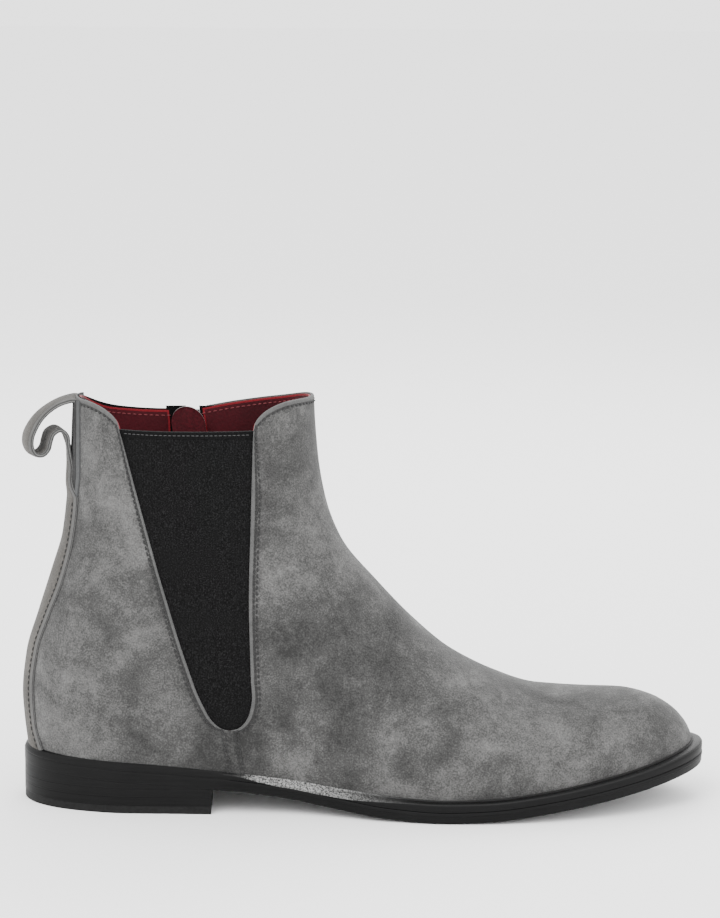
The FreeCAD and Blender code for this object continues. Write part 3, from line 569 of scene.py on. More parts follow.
stiffener = plain("stiffener", (0.40, 0.36, 0.29), (0.55, 0.50, 0.42), 500.0, 0.85)
cork = plain("cork", (0.20, 0.11, 0.05), (0.42, 0.26, 0.14), 420.0, 0.9)
insoleBoard = plain("insole_board", (0.28, 0.20, 0.13), (0.40, 0.31, 0.22), 600.0, 0.85)
thread = plain("thread_grey", grey(0.003), grey(0.010), 3000.0, 0.8)
redThread = plain("thread_red", (0.09, 0.010, 0.014), (0.16, 0.02, 0.026), 3000.0, 0.8)
hemThread = plain("thread_hem", grey(0.014), grey(0.040), 3000.0, 0.8)
guardLeather = plain("guard_leather", liningLook["dark"], liningLook["light"], 900.0, 0.5,
                     Specular_IOR_Level=0.2)
guardRim = plain("guard_rim", (0.10, 0.09, 0.088), (0.18, 0.165, 0.16), 900.0, 0.8)
slotLooks = {"suede": suede, "lining_leather": lining, "elastic": elastic, "black_tape": blackTape,
             "stiffener": stiffener, "zip_metal": zipMetal, "welt_leather": weltLeather,
             "sole_leather": soleLeather, "top_piece_rubber": topRubber, "insole_board": insoleBoard,
             "steel": steel, "cork": cork}
print("materials ready")


# stitches: one tree that strings them along polylines

def stitchTree():
    tree = bpy.data.node_groups.new("StitchRow", "GeometryNodeTree")
    face = tree.interface
    face.new_socket("Geometry", in_out="INPUT", socket_type="NodeSocketGeometry")
    for name in ("Pitch", "Length", "Width"):
        face.new_socket(name, in_out="INPUT", socket_type="NodeSocketFloat")
    face.new_socket("Thread", in_out="INPUT", socket_type="NodeSocketMaterial")
    face.new_socket("Geometry", in_out="OUTPUT", socket_type="NodeSocketGeometry")
    kinds = {"source": "NodeGroupInput", "result": "NodeGroupOutput", "curve": "GeometryNodeMeshToCurve",
             "resample": "GeometryNodeResampleCurve", "up": "GeometryNodeInputNamedAttribute",
             "tangent": "GeometryNodeInputTangent", "along": "FunctionNodeAlignEulerToVector",
             "stand": "FunctionNodeAlignEulerToVector", "bead": "GeometryNodeMeshUVSphere",
             "size": "ShaderNodeCombineXYZ", "put": "GeometryNodeInstanceOnPoints",
             "real": "GeometryNodeRealizeInstances", "paint": "GeometryNodeSetMaterial",
             "halfLength": "ShaderNodeMath", "halfWidth": "ShaderNodeMath"}
    nodes = {name: tree.nodes.new(kind) for name, kind in kinds.items()}
    nodes["resample"].mode = "LENGTH"
    nodes["up"].data_type = "FLOAT_VECTOR"
    nodes["up"].inputs["Name"].default_value = "up"
    nodes["along"].axis = "X"
    nodes["stand"].axis = "Z"
    nodes["stand"].pivot_axis = "X"
    for key, value in (("Segments", 8), ("Rings", 6), ("Radius", 1.0)):
        nodes["bead"].inputs[key].default_value = value
    for name in ("halfLength", "halfWidth"):
        nodes[name].operation = "MULTIPLY"
        nodes[name].inputs[1].default_value = 0.5
    for start, out, end, into in (
            ("source", "Geometry", "curve", 0), ("curve", 0, "resample", "Curve"),
            ("source", "Pitch", "resample", "Length"), ("resample", 0, "put", "Points"),
            ("bead", "Mesh", "put", "Instance"), ("tangent", 0, "along", "Vector"),
            ("along", 0, "stand", "Rotation"), ("up", 0, "stand", "Vector"),
            ("stand", 0, "put", "Rotation"), ("source", "Length", "halfLength", 0),
            ("source", "Width", "halfWidth", 0), ("halfLength", 0, "size", 0),
            ("halfWidth", 0, "size", 1), ("halfWidth", 0, "size", 2), ("size", 0, "put", "Scale"),
            ("put", 0, "real", 0), ("real", 0, "paint", "Geometry"),
            ("source", "Thread", "paint", "Material"), ("paint", 0, "result", 0)):
        tree.links.new(nodes[start].outputs[out], nodes[end].inputs[into])
    return tree


stitchRow = stitchTree()


def stitches(name, rows, looks):  # rows are (points, normals) runs in millimetres
    spots = np.vstack([points for points, _ in rows])
    ups = np.vstack([normals for _, normals in rows])
    edges, start = [], 0
    for points, _ in rows:
        edges += [(start + k, start + k + 1) for k in range(len(points) - 1)]
        start += len(points)
    mesh = bpy.data.meshes.new(name)
    mesh.from_pydata(toFrame(spots).tolist(), edges, [])
    upLayer = mesh.attributes.new("up", "FLOAT_VECTOR", "POINT")
    upLayer.data.foreach_set("vector", ups.astype(np.float32).ravel())
    piece = bpy.data.objects.new(name, mesh)
    bpy.context.scene.collection.objects.link(piece)
    modifier = piece.modifiers.new("stitches", "NODES")
    modifier.node_group = stitchRow
    for item in stitchRow.interface.items_tree:
        if item.item_type == "SOCKET" and item.in_out == "INPUT" and item.name in looks:
            modifier[item.identifier] = looks[item.name]
    graph = bpy.context.evaluated_depsgraph_get()
    done = bpy.data.meshes.new_from_object(piece.evaluated_get(graph))
    piece.modifiers.remove(modifier)
    piece.data = done
    piece.data.name = name
    done.polygons.foreach_set("use_smooth", [True] * len(done.polygons))
    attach(piece, body)


print("stitch tree ready")

# outlines in the side view

goreTop = 171.0
goreFoot = (92.0, 38.2)
zipFoot = (91, 39)
seamFoot = (94.8, float(feather(94.8)))
goreFront = [(102.3, goreTop), (101.3, 132), (100.4, 95), (101.3, 62), (101.6, 50), (98.9, 42.0),
             (95.6, 39.0), goreFoot]
goreBack = [(43.4, goreTop), (53.6, 134), (64.2, 97), (73, 68.5), (80, 50), (84.7, 42.0), (88.4, 39.0),
            goreFoot]
collarFront = (128.4, 183.1)
collarBack = (22.9, 182.5)
frontOuter = [(102.3, goreTop), (103.4, 175.4), (107, 179.4), (114, 182.7), (122, 183.7), collarFront]
backOuter = [collarBack, (30, 182), (37.2, 179.4), (41.8, 175.4), (43.4, goreTop)]
frontInner = [(78.1, 171.6), (90.5, 174.2), (104, 176.8), (118, 179.8), collarFront]
backInner = [collarBack, (27.5, 178.0), (33, 174.8), (45.4, 172.0), (58, 170.8), (69.1, 170.6)]
slotFront = [(78.1, 171.6), (94.47, 45), (94.6, 40.6), zipFoot]
slotBack = [(69.1, 170.6), (85.27, 45), (87.4, 40.6), zipFoot]
edgeShare = 0.86  # where the gore or zip ends on a panel's edge and the side seam starts
vampColumns, quarterColumns, panelRows = 46, 34, 84
heelFeather = 24.6  # height of the feather line at the back of the heel


def ridgeFrom(height):  # the front line from a height down to the toe, by share of its length
    start = float(np.interp(-height, -ridgeZ(ridgeStations), ridgeStations))
    end = ridgeAlong[-2]

    def line(u):
        at = mix(start, end, u)
        return np.stack([np.interp(at, ridgeStations, ridgeLine[:, k]) for k in (0, 1)], axis=-1)
    return line


def featherFrom(x0, x1):
    return lambda u: np.stack([mix(x0, x1, u), feather(mix(x0, x1, u))], axis=-1)


def backRun(height):  # the back line from the collar down to the feather
    return lambda u: np.stack([backLine(mix(height, heelFeather, u)), mix(height, heelFeather, u)], axis=-1)


toeTip = float(ridgeX(ridgeAlong[-2])), float(ridgeZ(ridgeAlong[-2]))
vampHalves = {}
for side, top, edge in ((outer, frontOuter, [(goreFront, edgeShare), ([goreFoot, seamFoot], 1)]),
                        (inner, frontInner, [(slotFront, edgeShare), ([zipFoot, seamFoot], 1)])):
    at = between(joined((top, 1)), featherFrom(seamFoot[0], toeTip[0]), joined(*edge),
                 ridgeFrom(collarFront[1]))
    vampHalves[side] = layOut(at, side, vampColumns, panelRows)
quarterHalves = {}
for side, top, edge in ((outer, backOuter[::-1], [(goreBack, edgeShare), ([goreFoot, seamFoot], 1)]),
                        (inner, backInner[::-1], [(slotBack, edgeShare), ([zipFoot, seamFoot], 1)])):
    at = between(joined((top, 1)), featherFrom(seamFoot[0], float(backLine(heelFeather))), joined(*edge),
                 backRun(collarBack[1]))
    quarterHalves[side] = layOut(at, side, quarterColumns, panelRows)


def wholeNormals(first, second):  # normals over two halves that meet at their last column
    both = np.concatenate([first, second[:, -2::-1]], axis=1)
    normal = outwards(both)
    n = first.shape[1]
    return normal[:, :n], normal[:, n - 1:][:, ::-1]


vampNormals = dict(zip((outer, inner), wholeNormals(vampHalves[outer], vampHalves[inner])))
quarterNormals = dict(zip((outer, inner), wholeNormals(quarterHalves[outer], quarterHalves[inner])))

suedeThick, liningThick, layerGap, edgeRound = 1.5, 0.85, 0.05, 0.75
collarRise = -0.7  # the lining ends this far over the suede's edge at the collar; below it when negative
footRow = len(nearEdge) + (edgeShare - firstRow) / (1 - firstRow) * (panelRows - 1)


def roundedEdge(distance):
    inside = np.clip(edgeRound - distance, 0, edgeRound)
    return -(edgeRound - np.sqrt(edgeRound ** 2 - inside ** 2))


def edges(grid, left=True, top=True, right=False):  # distance in mm from the panel's free edges
    far = np.full(grid.shape[:2], 60.0)
    rows = np.arange(grid.shape[0])[:, None]
    sewn = 5.0 * ramp(rows, footRow - 0.5, footRow + 0.5)  # under the gore the panels lie sewn flat together
    if left:
        far = np.minimum(far, arcs(grid, 1) + sewn)
    if right:
        far = np.minimum(far, arcs(grid, 1, True) + sewn)
    if top:
        far = np.minimum(far, arcs(grid, 0))
    return far


creases = {"ankle": 0.35, "ball": 0.22}  # heights in mm


def creased(grid):  # shallow creases where the instep and ankle bend
    x, z = grid[..., 0], grid[..., 2]
    over = (x - 150) * 0.62 + (z - 95) * 0.78
    ankle = np.sin(over * 0.33 + 0.05 * x) * np.exp(-((x - 152) / 34) ** 2 - ((z - 88) / 30) ** 2)
    ball = np.sin(x * 0.21 + z * 0.16 + 1.0) * np.exp(-((x - 205) / 38) ** 2 - ((z - 40) / 18) ** 2)
    return creases["ankle"] * ankle + creases["ball"] * ball


# the vamp goes from the gore round the front to the zip
vampGrid = np.concatenate([vampHalves[outer], vampHalves[inner][:, -2::-1]], axis=1)
vampNormal = np.concatenate([vampNormals[outer], vampNormals[inner][:, -2::-1]], axis=1)
vampEdge = edges(vampGrid, right=True)
shell("vamp_suede", vampGrid, vampNormal, roundedEdge(vampEdge) + creased(vampGrid),
      np.full(vampEdge.shape, -suedeThick), [suede], {"edge": vampEdge}, shown=("vamp",))
for side, label, node in ((outer, "lateral", "quarter_lateral"), (inner, "medial", "quarter_medial")):
    grid, normal = quarterHalves[side], quarterNormals[side]
    edge = edges(grid)
    shell(f"quarter_{label}_suede", grid, normal, roundedEdge(edge), np.full(edge.shape, -suedeThick),
          [suede], {"edge": edge}, shown=(node,))
print("suede panels ready")


# the lining hangs inside and ends a little below the suede's edge
def raised(grid):
    lift = collarRise * (1 - ramp(arcs(grid, 0), 0, 6))
    return grid + np.stack([0 * lift, 0 * lift, lift], axis=-1)


liningGrids = {"lining_vamp": (vampGrid, vampNormal, vampEdge)}
# behind the zip the back lining stops short and leaves a window
windowBack = [(62.6, 170.7), (78.8, 45), (85.5, 40.8), zipFoot]
at = between(joined((windowBack[:1] + backInner[-2::-1], 1)),
             featherFrom(seamFoot[0], float(backLine(heelFeather))),
             joined((windowBack, edgeShare), ([zipFoot, seamFoot], 1)), backRun(collarBack[1]))
windowGrid = layOut(at, inner, quarterColumns, panelRows)
for node, grid, normal in (("lining_quarter_lateral", quarterHalves[outer], quarterNormals[outer]),
                           ("lining_quarter_medial", windowGrid,
                            wholeNormals(quarterHalves[outer], windowGrid)[1])):
    liningGrids[node] = (grid, normal, edges(grid))
for node, (grid, normal, edge) in liningGrids.items():
    outside = np.full(edge.shape, -suedeThick - layerGap)
    shell(node + "_skin", raised(grid), normal, outside, outside - liningThick, [lining], {"edge": edge},
          shown=(node,))


# the elastic gore and the hem tape over its top; "under" is how far each reaches beneath the suede
goreLook = {"under": 3.6, "depth": 1.25, "thick": 1.2, "topDrop": 0.2, "foot": 38.5}
hemLook = {"under": 0.6, "depth": 0.95, "thick": 1.75, "rise": 0.7, "tall": 2.4}
goreBackLine = smoothRun(goreBack, np.linspace(0, 1, 300))[:-6]
goreFrontLine = smoothRun(goreFront, np.linspace(0, 1, 300))[:-22]  # both lines end before they turn level


def gorePatch(name, look, topZ, lowZ, rows, looks, shown):
    columns = 40
    heights = np.linspace(topZ, lowZ, rows)
    z = np.minimum(heights, goreTop)
    back = np.interp(-z, -goreBackLine[:, 1], goreBackLine[:, 0]) - look["under"]
    front = np.interp(-z, -goreFrontLine[:, 1], goreFrontLine[:, 0]) + look["under"]
    x = back[:, None] + (front - back)[:, None] * np.linspace(0, 1, columns)
    grid = wall(np.stack([x, np.repeat(heights[:, None], columns, axis=1)], axis=-1), outer)
    normal = outwards(grid)
    outside = np.full(x.shape, -look["depth"])
    shell(name, grid, normal, outside, outside - look["thick"], looks, {"edge": arcs(grid, 0)}, shown=shown)
    return grid, normal


gorePatch("gore_elastic", goreLook, goreTop - goreLook["topDrop"], goreLook["foot"], 90, [elastic],
          ("elastic_gore",))
hemGrid, hemNormal = gorePatch("gore_hem_tape", hemLook, goreTop + hemLook["rise"], goreTop - hemLook["tall"],
                               8, [blackTape], ("gore_hem",))
print("gore ready")

# the back strip and the pull loop, one ribbon


def backAt(z, y, side):  # x where the upper's half width comes to y
    low, high = backLine(z) + 0 * y, backLine(z) + 45.0 + 0 * y
    for _ in range(34):
        middle = (low + high) / 2
        wide = halfWidth(middle, z, side) > y
        high = np.where(wide, middle, high)
        low = np.where(wide, low, middle)
    return (low + high) / 2


strap = {"loopHalf": 9.0, "footHalf": 13.6, "thick": 1.8, "proud": 1.4, "edgeDrop": 0.35,
         "skew": 5.2, "tailWrap": 2.2, "topBow": 1.2, "swell": 1.0}
stripEdge = smoothLine([(22, 9.4), (36, 5.6), (52, 4.6), (69.6, 6.8), (85.7, 12.2), (101, 18), (119, 22.6),
                        (136, 24.8), (150, 25.0)])
loopNear = [(26.6, 168.0), (26.4, 176.0), (23.9, 180.6), (18.3, 179.9), (13.2, 177.1), (8.9, 173.0),
            (6.1, 168.4), (4.3, 163.4), (4.4, 159.6), (6.2, 156.6), (9.2, 156.4), (11.6, 158.8),
            (12.6, 162.4), (13.9, 165.8), (17.2, 167.6),
            (19.6, 165.6), (20.2, 161.0), (19.8, 155.0), (19.4, 148.5), (19.1, 142.0), (19.6, 136.0)]
loopStations = 120
loopShares = np.linspace(0, 1, loopStations)
loopLine = smoothRun(loopNear, loopShares)
stripHeights = np.linspace(135.0, 23.6, 90)
across = np.linspace(-1, 1, 33)
bulge = 1 - 0.85 * across ** 2  # the strip stands out most along its middle
skew = strap["skew"] * ramp(loopShares, 0.10, 0.40) * (1 - ramp(loopShares, 0.62, 0.86))


def ontoBack(z, y):  # x on the upper's outside at distances y to either side of the centre
    heights = np.full_like(across, z)
    return np.where(across < 0, backAt(heights, np.abs(y), outer), backAt(heights, np.abs(y), inner))


def backRow(z, reach):  # x and y of a row that goes round the back, as far forward as x = reach
    half = [float(halfWidth(reach, z, side)) for side in (outer, inner)]
    y = np.where(across < 0, half[0], half[1]) * across
    return np.where(np.abs(across) < 1e-6, backLine(z), ontoBack(z, y)), y


def facingBack(grid, row):  # normals of a strap's grid, turned away from the leg
    normal = outwards(grid)
    return -normal if normal[row, len(across) // 2, 0] > 0 else normal


ribbon = np.zeros((loopStations + len(stripHeights), len(across), 3))
for k, (x, z) in enumerate(loopLine):
    share = loopShares[k]
    push = skew[k] * (across + 1) / 2
    wrap = strap["tailWrap"] * ramp(share, 0.74, 0.86) * across ** 2  # the tail bends round the back
    bow = strap["topBow"] * (1 - across ** 2) * ramp(share, 0.0, 0.2) * (1 - ramp(share, 0.4, 0.6))
    ribbon[k] = np.stack([x + wrap - push * 0.95 - bow, across * strap["loopHalf"],
                          z - push * 0.25 + 0 * across], axis=-1)
    # near the foot of the loop the ribbon settles onto the back
    settle = float(ramp(share, 0.88, 0.985))
    if settle > 0:
        y = mix(strap["loopHalf"], strap["footHalf"], settle) * across
        lean = strap["swell"] * bulge + ramp(z, 136.5, 146)
        ribbon[k, :, 0] = mix(ribbon[k, :, 0], ontoBack(z, y) - lean, settle)
        ribbon[k, :, 1] = y
for k, z in enumerate(stripHeights):
    x, y = backRow(z, float(stripEdge(z)))
    swell = strap["swell"] * ramp(z, 116, 135) * bulge  # the loop's sewn end lies under the strip
    ribbon[loopStations + k] = np.stack([x - swell, y, np.full_like(across, z)], axis=-1)
ribbonNormal = facingBack(ribbon, loopStations + 20)
onBack = ramp(np.arange(len(ribbon)), loopStations - 14, loopStations + 2)[:, None]
ribbonEdge = np.minimum(arcs(ribbon, 1), arcs(ribbon, 1, True))
rounding = np.clip(roundedEdge(ribbonEdge), -strap["edgeDrop"], 0)
front = mix(strap["thick"] / 2, strap["proud"], onBack) + rounding
back = mix(-strap["thick"] / 2, layerGap, onBack) + 0 * ribbonEdge
strapEdge = plain("strap_edge", (0.07, 0.07, 0.068), (0.12, 0.12, 0.117), 1500.0, 0.9)
strapCore = plain("strap_core", grey(0.018), grey(0.035), 1500.0, 0.9)
shell("back_strip_and_loop", ribbon, ribbonNormal, front, back, [strapSuede, strapCore, strapEdge],
      {"edge": ribbonEdge}, bands=3, mats=(1, 2, 1), shown=("back_strip", "pull_loop"))

# the tab behind the loop carries the strip on up to the collar; its suede is painted darker, a painted shadow
# cast by the loop
tabProud = 1.15
tabHeights = np.linspace(181.3, 139.0, 60)
tab = np.zeros((len(tabHeights), len(across), 3))
for k, z in enumerate(tabHeights):
    x, y = backRow(z, float(mix(25.9, 24.7, ramp(z, 150, 136))))
    tab[k] = np.stack([x, y, np.full_like(across, z)], axis=-1)
tabNormal = facingBack(tab, 20)
tabEdge = np.minimum(arcs(tab, 1), arcs(tab, 1, True))
shell("back_tab_layer", tab, tabNormal, tabProud + np.clip(roundedEdge(tabEdge), -strap["edgeDrop"], 0),
      layerGap + 0 * tabEdge, [tabShadedSuede], {"edge": tabEdge}, shown=("back_tab",))
print("strip and loop ready")

# the sole

stationCount = 110


def baseOutline():
    sides = []
    for side in (outer, inner):
        shares = (1 - np.cos(np.pi * np.linspace(0, 1, stationCount + 1))) / 2
        x = mix(float(backLine(24)), last["toeEnd"], shares)
        sides.append(np.stack([x, toeSwing(x) + side * halfWidth(x, 0 * x, side)], axis=-1))
    return np.vstack([sides[0], sides[1][-2:0:-1]])


outline = baseOutline()
around = np.roll(outline, -1, 0) - np.roll(outline, 1, 0)
for _ in range(3):
    around = (np.roll(around, 1, 0) + 2 * around + np.roll(around, -1, 0)) / 4
around /= np.linalg.norm(around, axis=1, keepdims=True)
outWay = np.stack([around[:, 1], -around[:, 0]], axis=-1)
if (outWay * (outline - outline.mean(0))).sum() < 0:
    outWay = -outWay
sole = {"welt": 5.0, "heelFlare": 2.4, "thick": 5.2, "inside": 6.5, "weltFrom": 89, "randTo": 95,
        "heelBreast": 84.0, "liftChamfer": 0.10}
liftTops = [0.0, 3.6, 7.45, 11.3]
weltShare = smoothLine([(0, 0.10), (70, 0.12), (100, 0.35), (130, 0.55), (160, 0.95), (300, 1.0)])
edgeOut = sole["welt"] * weltShare(outline[:, 0]) + sole["heelFlare"] * (1 - ramp(outline[:, 0], 0, 34))


def ringOf(profile):  # profile: (offset, height) arrays, each with a value for every station
    return np.stack([np.column_stack([outline + outWay * off[:, None], z]) for off, z in profile], axis=1)


x = outline[:, 0]
top, low = feather(x), soleBottom(x) + sole["thick"]
slope = 3.1 * ramp(x, 94, 118) * (1 - ramp(x, 128, 176)) + 0.35
inside = 0 * x - sole["inside"]
hidden = [(inside, low + 0.1), (inside, top - 0.3), (-0.6 + 0 * x, top - 0.1)]
weltProfile = hidden + [(0.25 + 0 * x, top + 0.1), (0.12 * edgeOut + 0.2, top - 0.45 - 0.1 * slope)]
weltProfile += [(share * edgeOut, top - drop - fall * slope) for share, drop, fall in
                ((0.3, 0.1, 0.25), (0.55, 0.05, 0.5), (0.8, 0.15, 0.8), (0.94, 0.35, 1))]
weltProfile += [(edgeOut, np.maximum(top - 0.8 - slope, low + 0.25)),
                (edgeOut, np.maximum(mix(low, top - slope, 0.4), low + 0.2)),
                (edgeOut - 0.1, low + 0.16), (edgeOut - 0.5, low + 0.05)]
forePart = np.where(x >= sole["weltFrom"])[0]
silver = (ramp(x, 95, 104) * (1 - ramp(x, 120, 176)))[forePart]
silver = np.repeat(silver[:, None], len(weltProfile), axis=1)
sweep("welt_strip", ringOf(weltProfile)[forePart], [weltLeather, weltTop], ("welt",),
      mats=[0, 0, 0, 1, 1, 1, 1, 1, 1, 0, 0, 0, 0], values={"silver": silver})
fromToe = np.roll(np.arange(len(outline)), len(outline) // 2)
heelPart = fromToe[outline[fromToe, 0] < sole["randTo"]]
randProfile = hidden + [(0.3 + 0 * x, top + 0.1), (0.45 * edgeOut + 0.05, top - 0.25),
                        (0.8 * edgeOut + 0.1, top - 1.0), (edgeOut + 0.02, low + 0.7),
                        (edgeOut, low + 0.2), (edgeOut - 0.1, low + 0.03)]
sweep("heel_rand_strip", ringOf(randProfile)[heelPart], [weltLeather], ("heel_rand",))


def plate(name, profile, looks, shown):  # a sole layer: profile from the top edge to the bottom edge
    rings = ringOf(profile)
    count = len(outline)
    points, faces = [rings.transpose(1, 0, 2).reshape(-1, 3)], []
    levels = len(profile)
    for j in range(levels - 1):
        for k in range(count):
            n = (k + 1) % count
            faces.append((j * count + k, j * count + n, (j + 1) * count + n, (j + 1) * count + k))
    total = levels * count
    columns = 9
    for level in (0, levels - 1):
        ring = rings[:, level]
        ids = np.zeros((stationCount + 1, columns + 1), int)
        for k in range(stationCount + 1):
            other = (count - k) % count
            ids[k, 0], ids[k, -1] = level * count + k, level * count + other
            inside = []
            for c in range(1, columns):
                if k in (0, stationCount):
                    ids[k, c] = level * count + k
                else:
                    ids[k, c] = total + len(inside)
                    inside.append(mix(ring[k], ring[other], c / columns))
            if inside:
                points.append(np.array(inside))
                total += len(inside)
        for k in range(stationCount):
            for c in range(columns):
                quad = [ids[k, c], ids[k, c + 1], ids[k + 1, c + 1], ids[k + 1, c]]
                quad = [q for i, q in enumerate(quad) if q not in quad[:i]]
                if len(quad) > 2:
                    faces.append(tuple(quad if level else quad[::-1]))
    piece = newMesh(name, np.vstack(points), faces, looks, sharp=35)
    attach(piece, body)
    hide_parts(*shown)


bottom = soleBottom(x)
lip = mix(0.12, 1, ramp(x, 84, 104))  # the lip and the rounded corners fade out over the heel
plate("outsole_plate", [
    (edgeOut - 0.5 * lip, low), (edgeOut - 0.05, low - 0.12), (edgeOut + 0.12 * lip, low - 0.5),
    (edgeOut + 0.12 * lip, low - 1.5), (edgeOut - 0.12 * lip, low - 1.75),
    (edgeOut - 0.15 * lip, bottom + 1.0), (edgeOut - 0.35 * lip, bottom + 0.35),
    (edgeOut - 0.9 * lip, bottom + 0.04), (edgeOut - 1.6 * lip, bottom),
], [soleLeather], ("outsole",))

heelRing = ringOf([(edgeOut - 0.08, 0 * x)])[:, 0]
heelLine = heelRing[fromToe[heelRing[fromToe, 0] < sole["heelBreast"] - 0.3]][:, :2]


def lift(name, lowZ, highZ, look, shown, shrink=0.0):  # a heel layer; without highZ it goes up to the sole
    breast = [[sole["heelBreast"], y] for y in heelLine[[0, -1], 1]]
    line = np.vstack([breast[0], heelLine, breast[1]])
    way = line - (46.0, 0.0)
    way /= np.linalg.norm(way, axis=1, keepdims=True)
    chamfer = sole["liftChamfer"]
    levels = []
    for inset, atTop, rise in ((chamfer, False, 0), (0, False, chamfer), (0, True, -chamfer),
                               (chamfer, True, 0)):
        flat = line - way * (inset + shrink)
        z = soleBottom(flat[:, 0]) if highZ is None else np.full(len(flat), highZ)
        levels.append(np.column_stack([flat, (z if atTop else np.full(len(flat), lowZ)) + rise]))
    count = len(line)
    faces = []
    for j in range(3):
        for k in range(count):
            n = (k + 1) % count
            faces.append((j * count + k, j * count + n, (j + 1) * count + n, (j + 1) * count + k))
    faces += [tuple(range(count - 1, -1, -1)), tuple(range(3 * count, 4 * count))]
    piece = newMesh(name, np.vstack(levels), faces, [look], sharp=30)
    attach(piece, body)
    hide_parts(shown)


lift("heel_top_piece_layer", liftTops[0], liftTops[1], topRubber, "heel_top_piece", 0.15)
lift("heel_lift_1_layer", liftTops[1], liftTops[2], soleLeather, "heel_lift_1")
lift("heel_lift_2_layer", liftTops[2], liftTops[3], soleLeather, "heel_lift_2")
lift("heel_wedge_layer", liftTops[3], None, soleLeather, "heel_lift_wedge")
print("sole ready")

# stitches


# a run that keeps its distance from a grid's left or top edge, lifted off the surface
def rowAt(grid, normal, along, distance, proud, start=0, end=None):
    if along == "top":
        grid, normal = grid.transpose(1, 0, 2), normal.transpose(1, 0, 2)
    far = arcs(grid, 1)
    lines, ups = [], []
    for j in range(start, end or len(grid)):
        k = np.interp(distance, far[j], np.arange(grid.shape[1]))
        first = min(int(k), grid.shape[1] - 2)
        lines.append(mix(grid[j, first], grid[j, first + 1], k - first))
        ups.append(mix(normal[j, first], normal[j, first + 1], k - first))
    lines, ups = np.array(lines), np.array(ups)
    ups /= np.linalg.norm(ups, axis=1, keepdims=True)
    return lines + ups * proud, ups


# lengths in metres; the distances from the edges below are mm
suedeStitches = {"Pitch": 0.0026, "Length": 0.0019, "Width": 0.0009, "Thread": thread}
liningStitches = {"Pitch": 0.0026, "Length": 0.0019, "Width": 0.0006, "Thread": redThread}
hemStitches = {"Pitch": 0.0020, "Length": 0.0017, "Width": 0.0004, "Thread": hemThread}
stitchRows = {"sides": (2.2, 3.6), "collar": 2.4, "suedeProud": 0.16, "hem": 1.55, "strip": 2.6,
              "stripProud": 1.45}

for label, sets in {
    "vamp_stitches": [(vampHalves[side], vampNormals[side]) for side in (outer, inner)],
    "quarter_lateral_stitches": [(quarterHalves[outer], quarterNormals[outer])],
    "quarter_medial_stitches": [(quarterHalves[inner], quarterNormals[inner])],
}.items():
    runs = []
    proud = stitchRows["suedeProud"]
    for grid, normal in sets:
        for distance in stitchRows["sides"]:
            runs.append(rowAt(grid, normal, "left", distance, proud, start=4))
        runs.append(rowAt(grid, normal, "top", stitchRows["collar"], proud, start=9, end=grid.shape[1] - 3))
    stitches(label, runs, suedeStitches)
for node, (grid, normal, edge) in liningGrids.items():
    end = grid.shape[1] - 2
    points, ups = rowAt(raised(grid), normal, "top", stitchRows["collar"], 0.0, start=2, end=end)
    inside = points - ups * (suedeThick + liningThick + 0.1)
    stitches(node + "_stitches", [(inside, -ups)], liningStitches)
stitches("gore_hem_stitches", [rowAt(hemGrid, hemNormal, "top", stitchRows["hem"], -0.9, start=2, end=38)],
         hemStitches)
runs = []
for grid, normal in ((ribbon, ribbonNormal), (ribbon[:, ::-1], ribbonNormal[:, ::-1])):
    runs.append(rowAt(grid, normal, "left", stitchRows["strip"], stitchRows["stripProud"], start=loopStations))
stitches("back_strip_stitches", runs, suedeStitches)
print("stitches ready")

# the leather guard behind the zip, sewn under the front lining

guardLook = {"halfWide": 7.6, "topRound": 8.0, "behind": 5.0, "bow": 0.35, "aside": -2.6, "thick": 1.1}
zipTop, zipLow = np.array([73.5, 172.0]), np.array([90.0, 44.0])
zipWay = (zipLow - zipTop) / np.linalg.norm(zipLow - zipTop)
guardDown = np.concatenate([-0.2 + 9 * np.linspace(0, 1, 16) ** 2, np.linspace(10, 123, 44)])
guardAcross = np.linspace(-1, 1, 15)
guard = np.zeros((len(guardDown), len(guardAcross), 3))
for j, down in enumerate(guardDown):
    u = 1 - min((down + 0.25) / guardLook["topRound"], 1)
    wide = guardLook["halfWide"] * math.sqrt(max(1 - u ** 2, 0.0001))
    spot = zipTop + zipWay * down
    guard[j, :, 0] = spot[0] + guardLook["aside"] + guardAcross * wide
    guard[j, :, 1] = last["zipWall"] - guardLook["behind"] - guardLook["bow"] * guardAcross ** 2
    guard[j, :, 2] = spot[1]
guardNormal = np.zeros_like(guard)
guardNormal[..., 1] = 1
guardEdge = np.minimum(np.minimum(arcs(guard, 1), arcs(guard, 1, True)), arcs(guard, 0))
shell("zip_guard_leather", guard, guardNormal, 0 * guardEdge, 0 * guardEdge - guardLook["thick"],
      [guardLeather, guardRim], bands=2, mats=(1, 1), shown=("zip_guard",))

# everything that keeps its CAD mesh gets the look of its slot

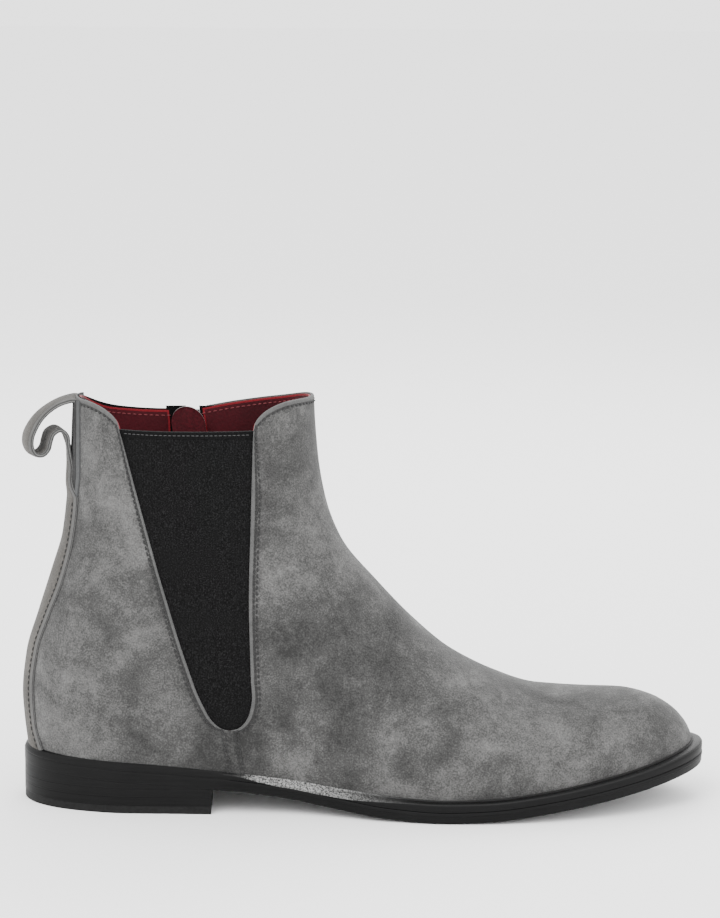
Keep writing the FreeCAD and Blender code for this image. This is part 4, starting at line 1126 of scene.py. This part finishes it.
for part in frame["record"]["subparts"]:
    node = frame["nodes"][part["node"]]
    if not node.hide_render:
        node.data.materials.clear()
        node.data.materials.append(slotLooks[part["material_slot"]])

# floor, light and camera

lamps = {  # place and size in metres, power in watts
    "key": {"place": (-0.5, -0.9, 1.25), "power": 17.0, "size": 0.9},
    "fill": {"place": (0.9, -0.8, 0.6), "power": 5.0, "size": 0.9},
    "back": {"place": (0.2, 0.9, 0.9), "power": 8.0, "size": 0.8},
}
skyPower, lampAim = 2.5, Vector((0, 0, 0.09))
view = {"distance": 1.5, "turn": -1.0, "roll": 0.5, "height": 0.430, "target": (-0.002, 0.0, 0.154),
        "lens": 134.6}

bpy.ops.mesh.primitive_plane_add(size=12, location=(0, 0, 0))
floor = bpy.context.object
floor.name = "floor"
floor.data.materials.append(material("floor_white", None, (0.96, 0.96, 0.96), 0.95, Specular_IOR_Level=0.1))
world = bpy.data.worlds.new("soft")
bpy.context.scene.world = world
world.use_nodes = True
world.node_tree.nodes["Background"].inputs[0].default_value = (1.0, 1.0, 1.0, 1)
world.node_tree.nodes["Background"].inputs[1].default_value = skyPower
for name, lampLook in lamps.items():
    lamp = bpy.data.lights.new(name, "AREA")
    lamp.energy, lamp.size = lampLook["power"], lampLook["size"]
    shining = bpy.data.objects.new(name, lamp)
    shining.location = lampLook["place"]
    shining.rotation_euler = (lampAim - Vector(lampLook["place"])).to_track_quat("-Z", "Y").to_euler()
    bpy.context.scene.collection.objects.link(shining)

camera = bpy.data.objects.new("camera", bpy.data.cameras.new("camera"))
bpy.context.scene.collection.objects.link(camera)
bpy.context.scene.camera = camera
target, turn, distance = Vector(view["target"]), math.radians(view["turn"]), view["distance"]
camera.location = (target.x + distance * math.sin(turn), -distance * math.cos(turn), view["height"])
look = (target - camera.location).to_track_quat("-Z", "Y")
camera.rotation_mode = "QUATERNION"
camera.rotation_quaternion = look @ Quaternion((0, 0, 1), math.radians(view["roll"]))
camera.data.lens = view["lens"]
camera.data.clip_end = 30
print("stage ready")
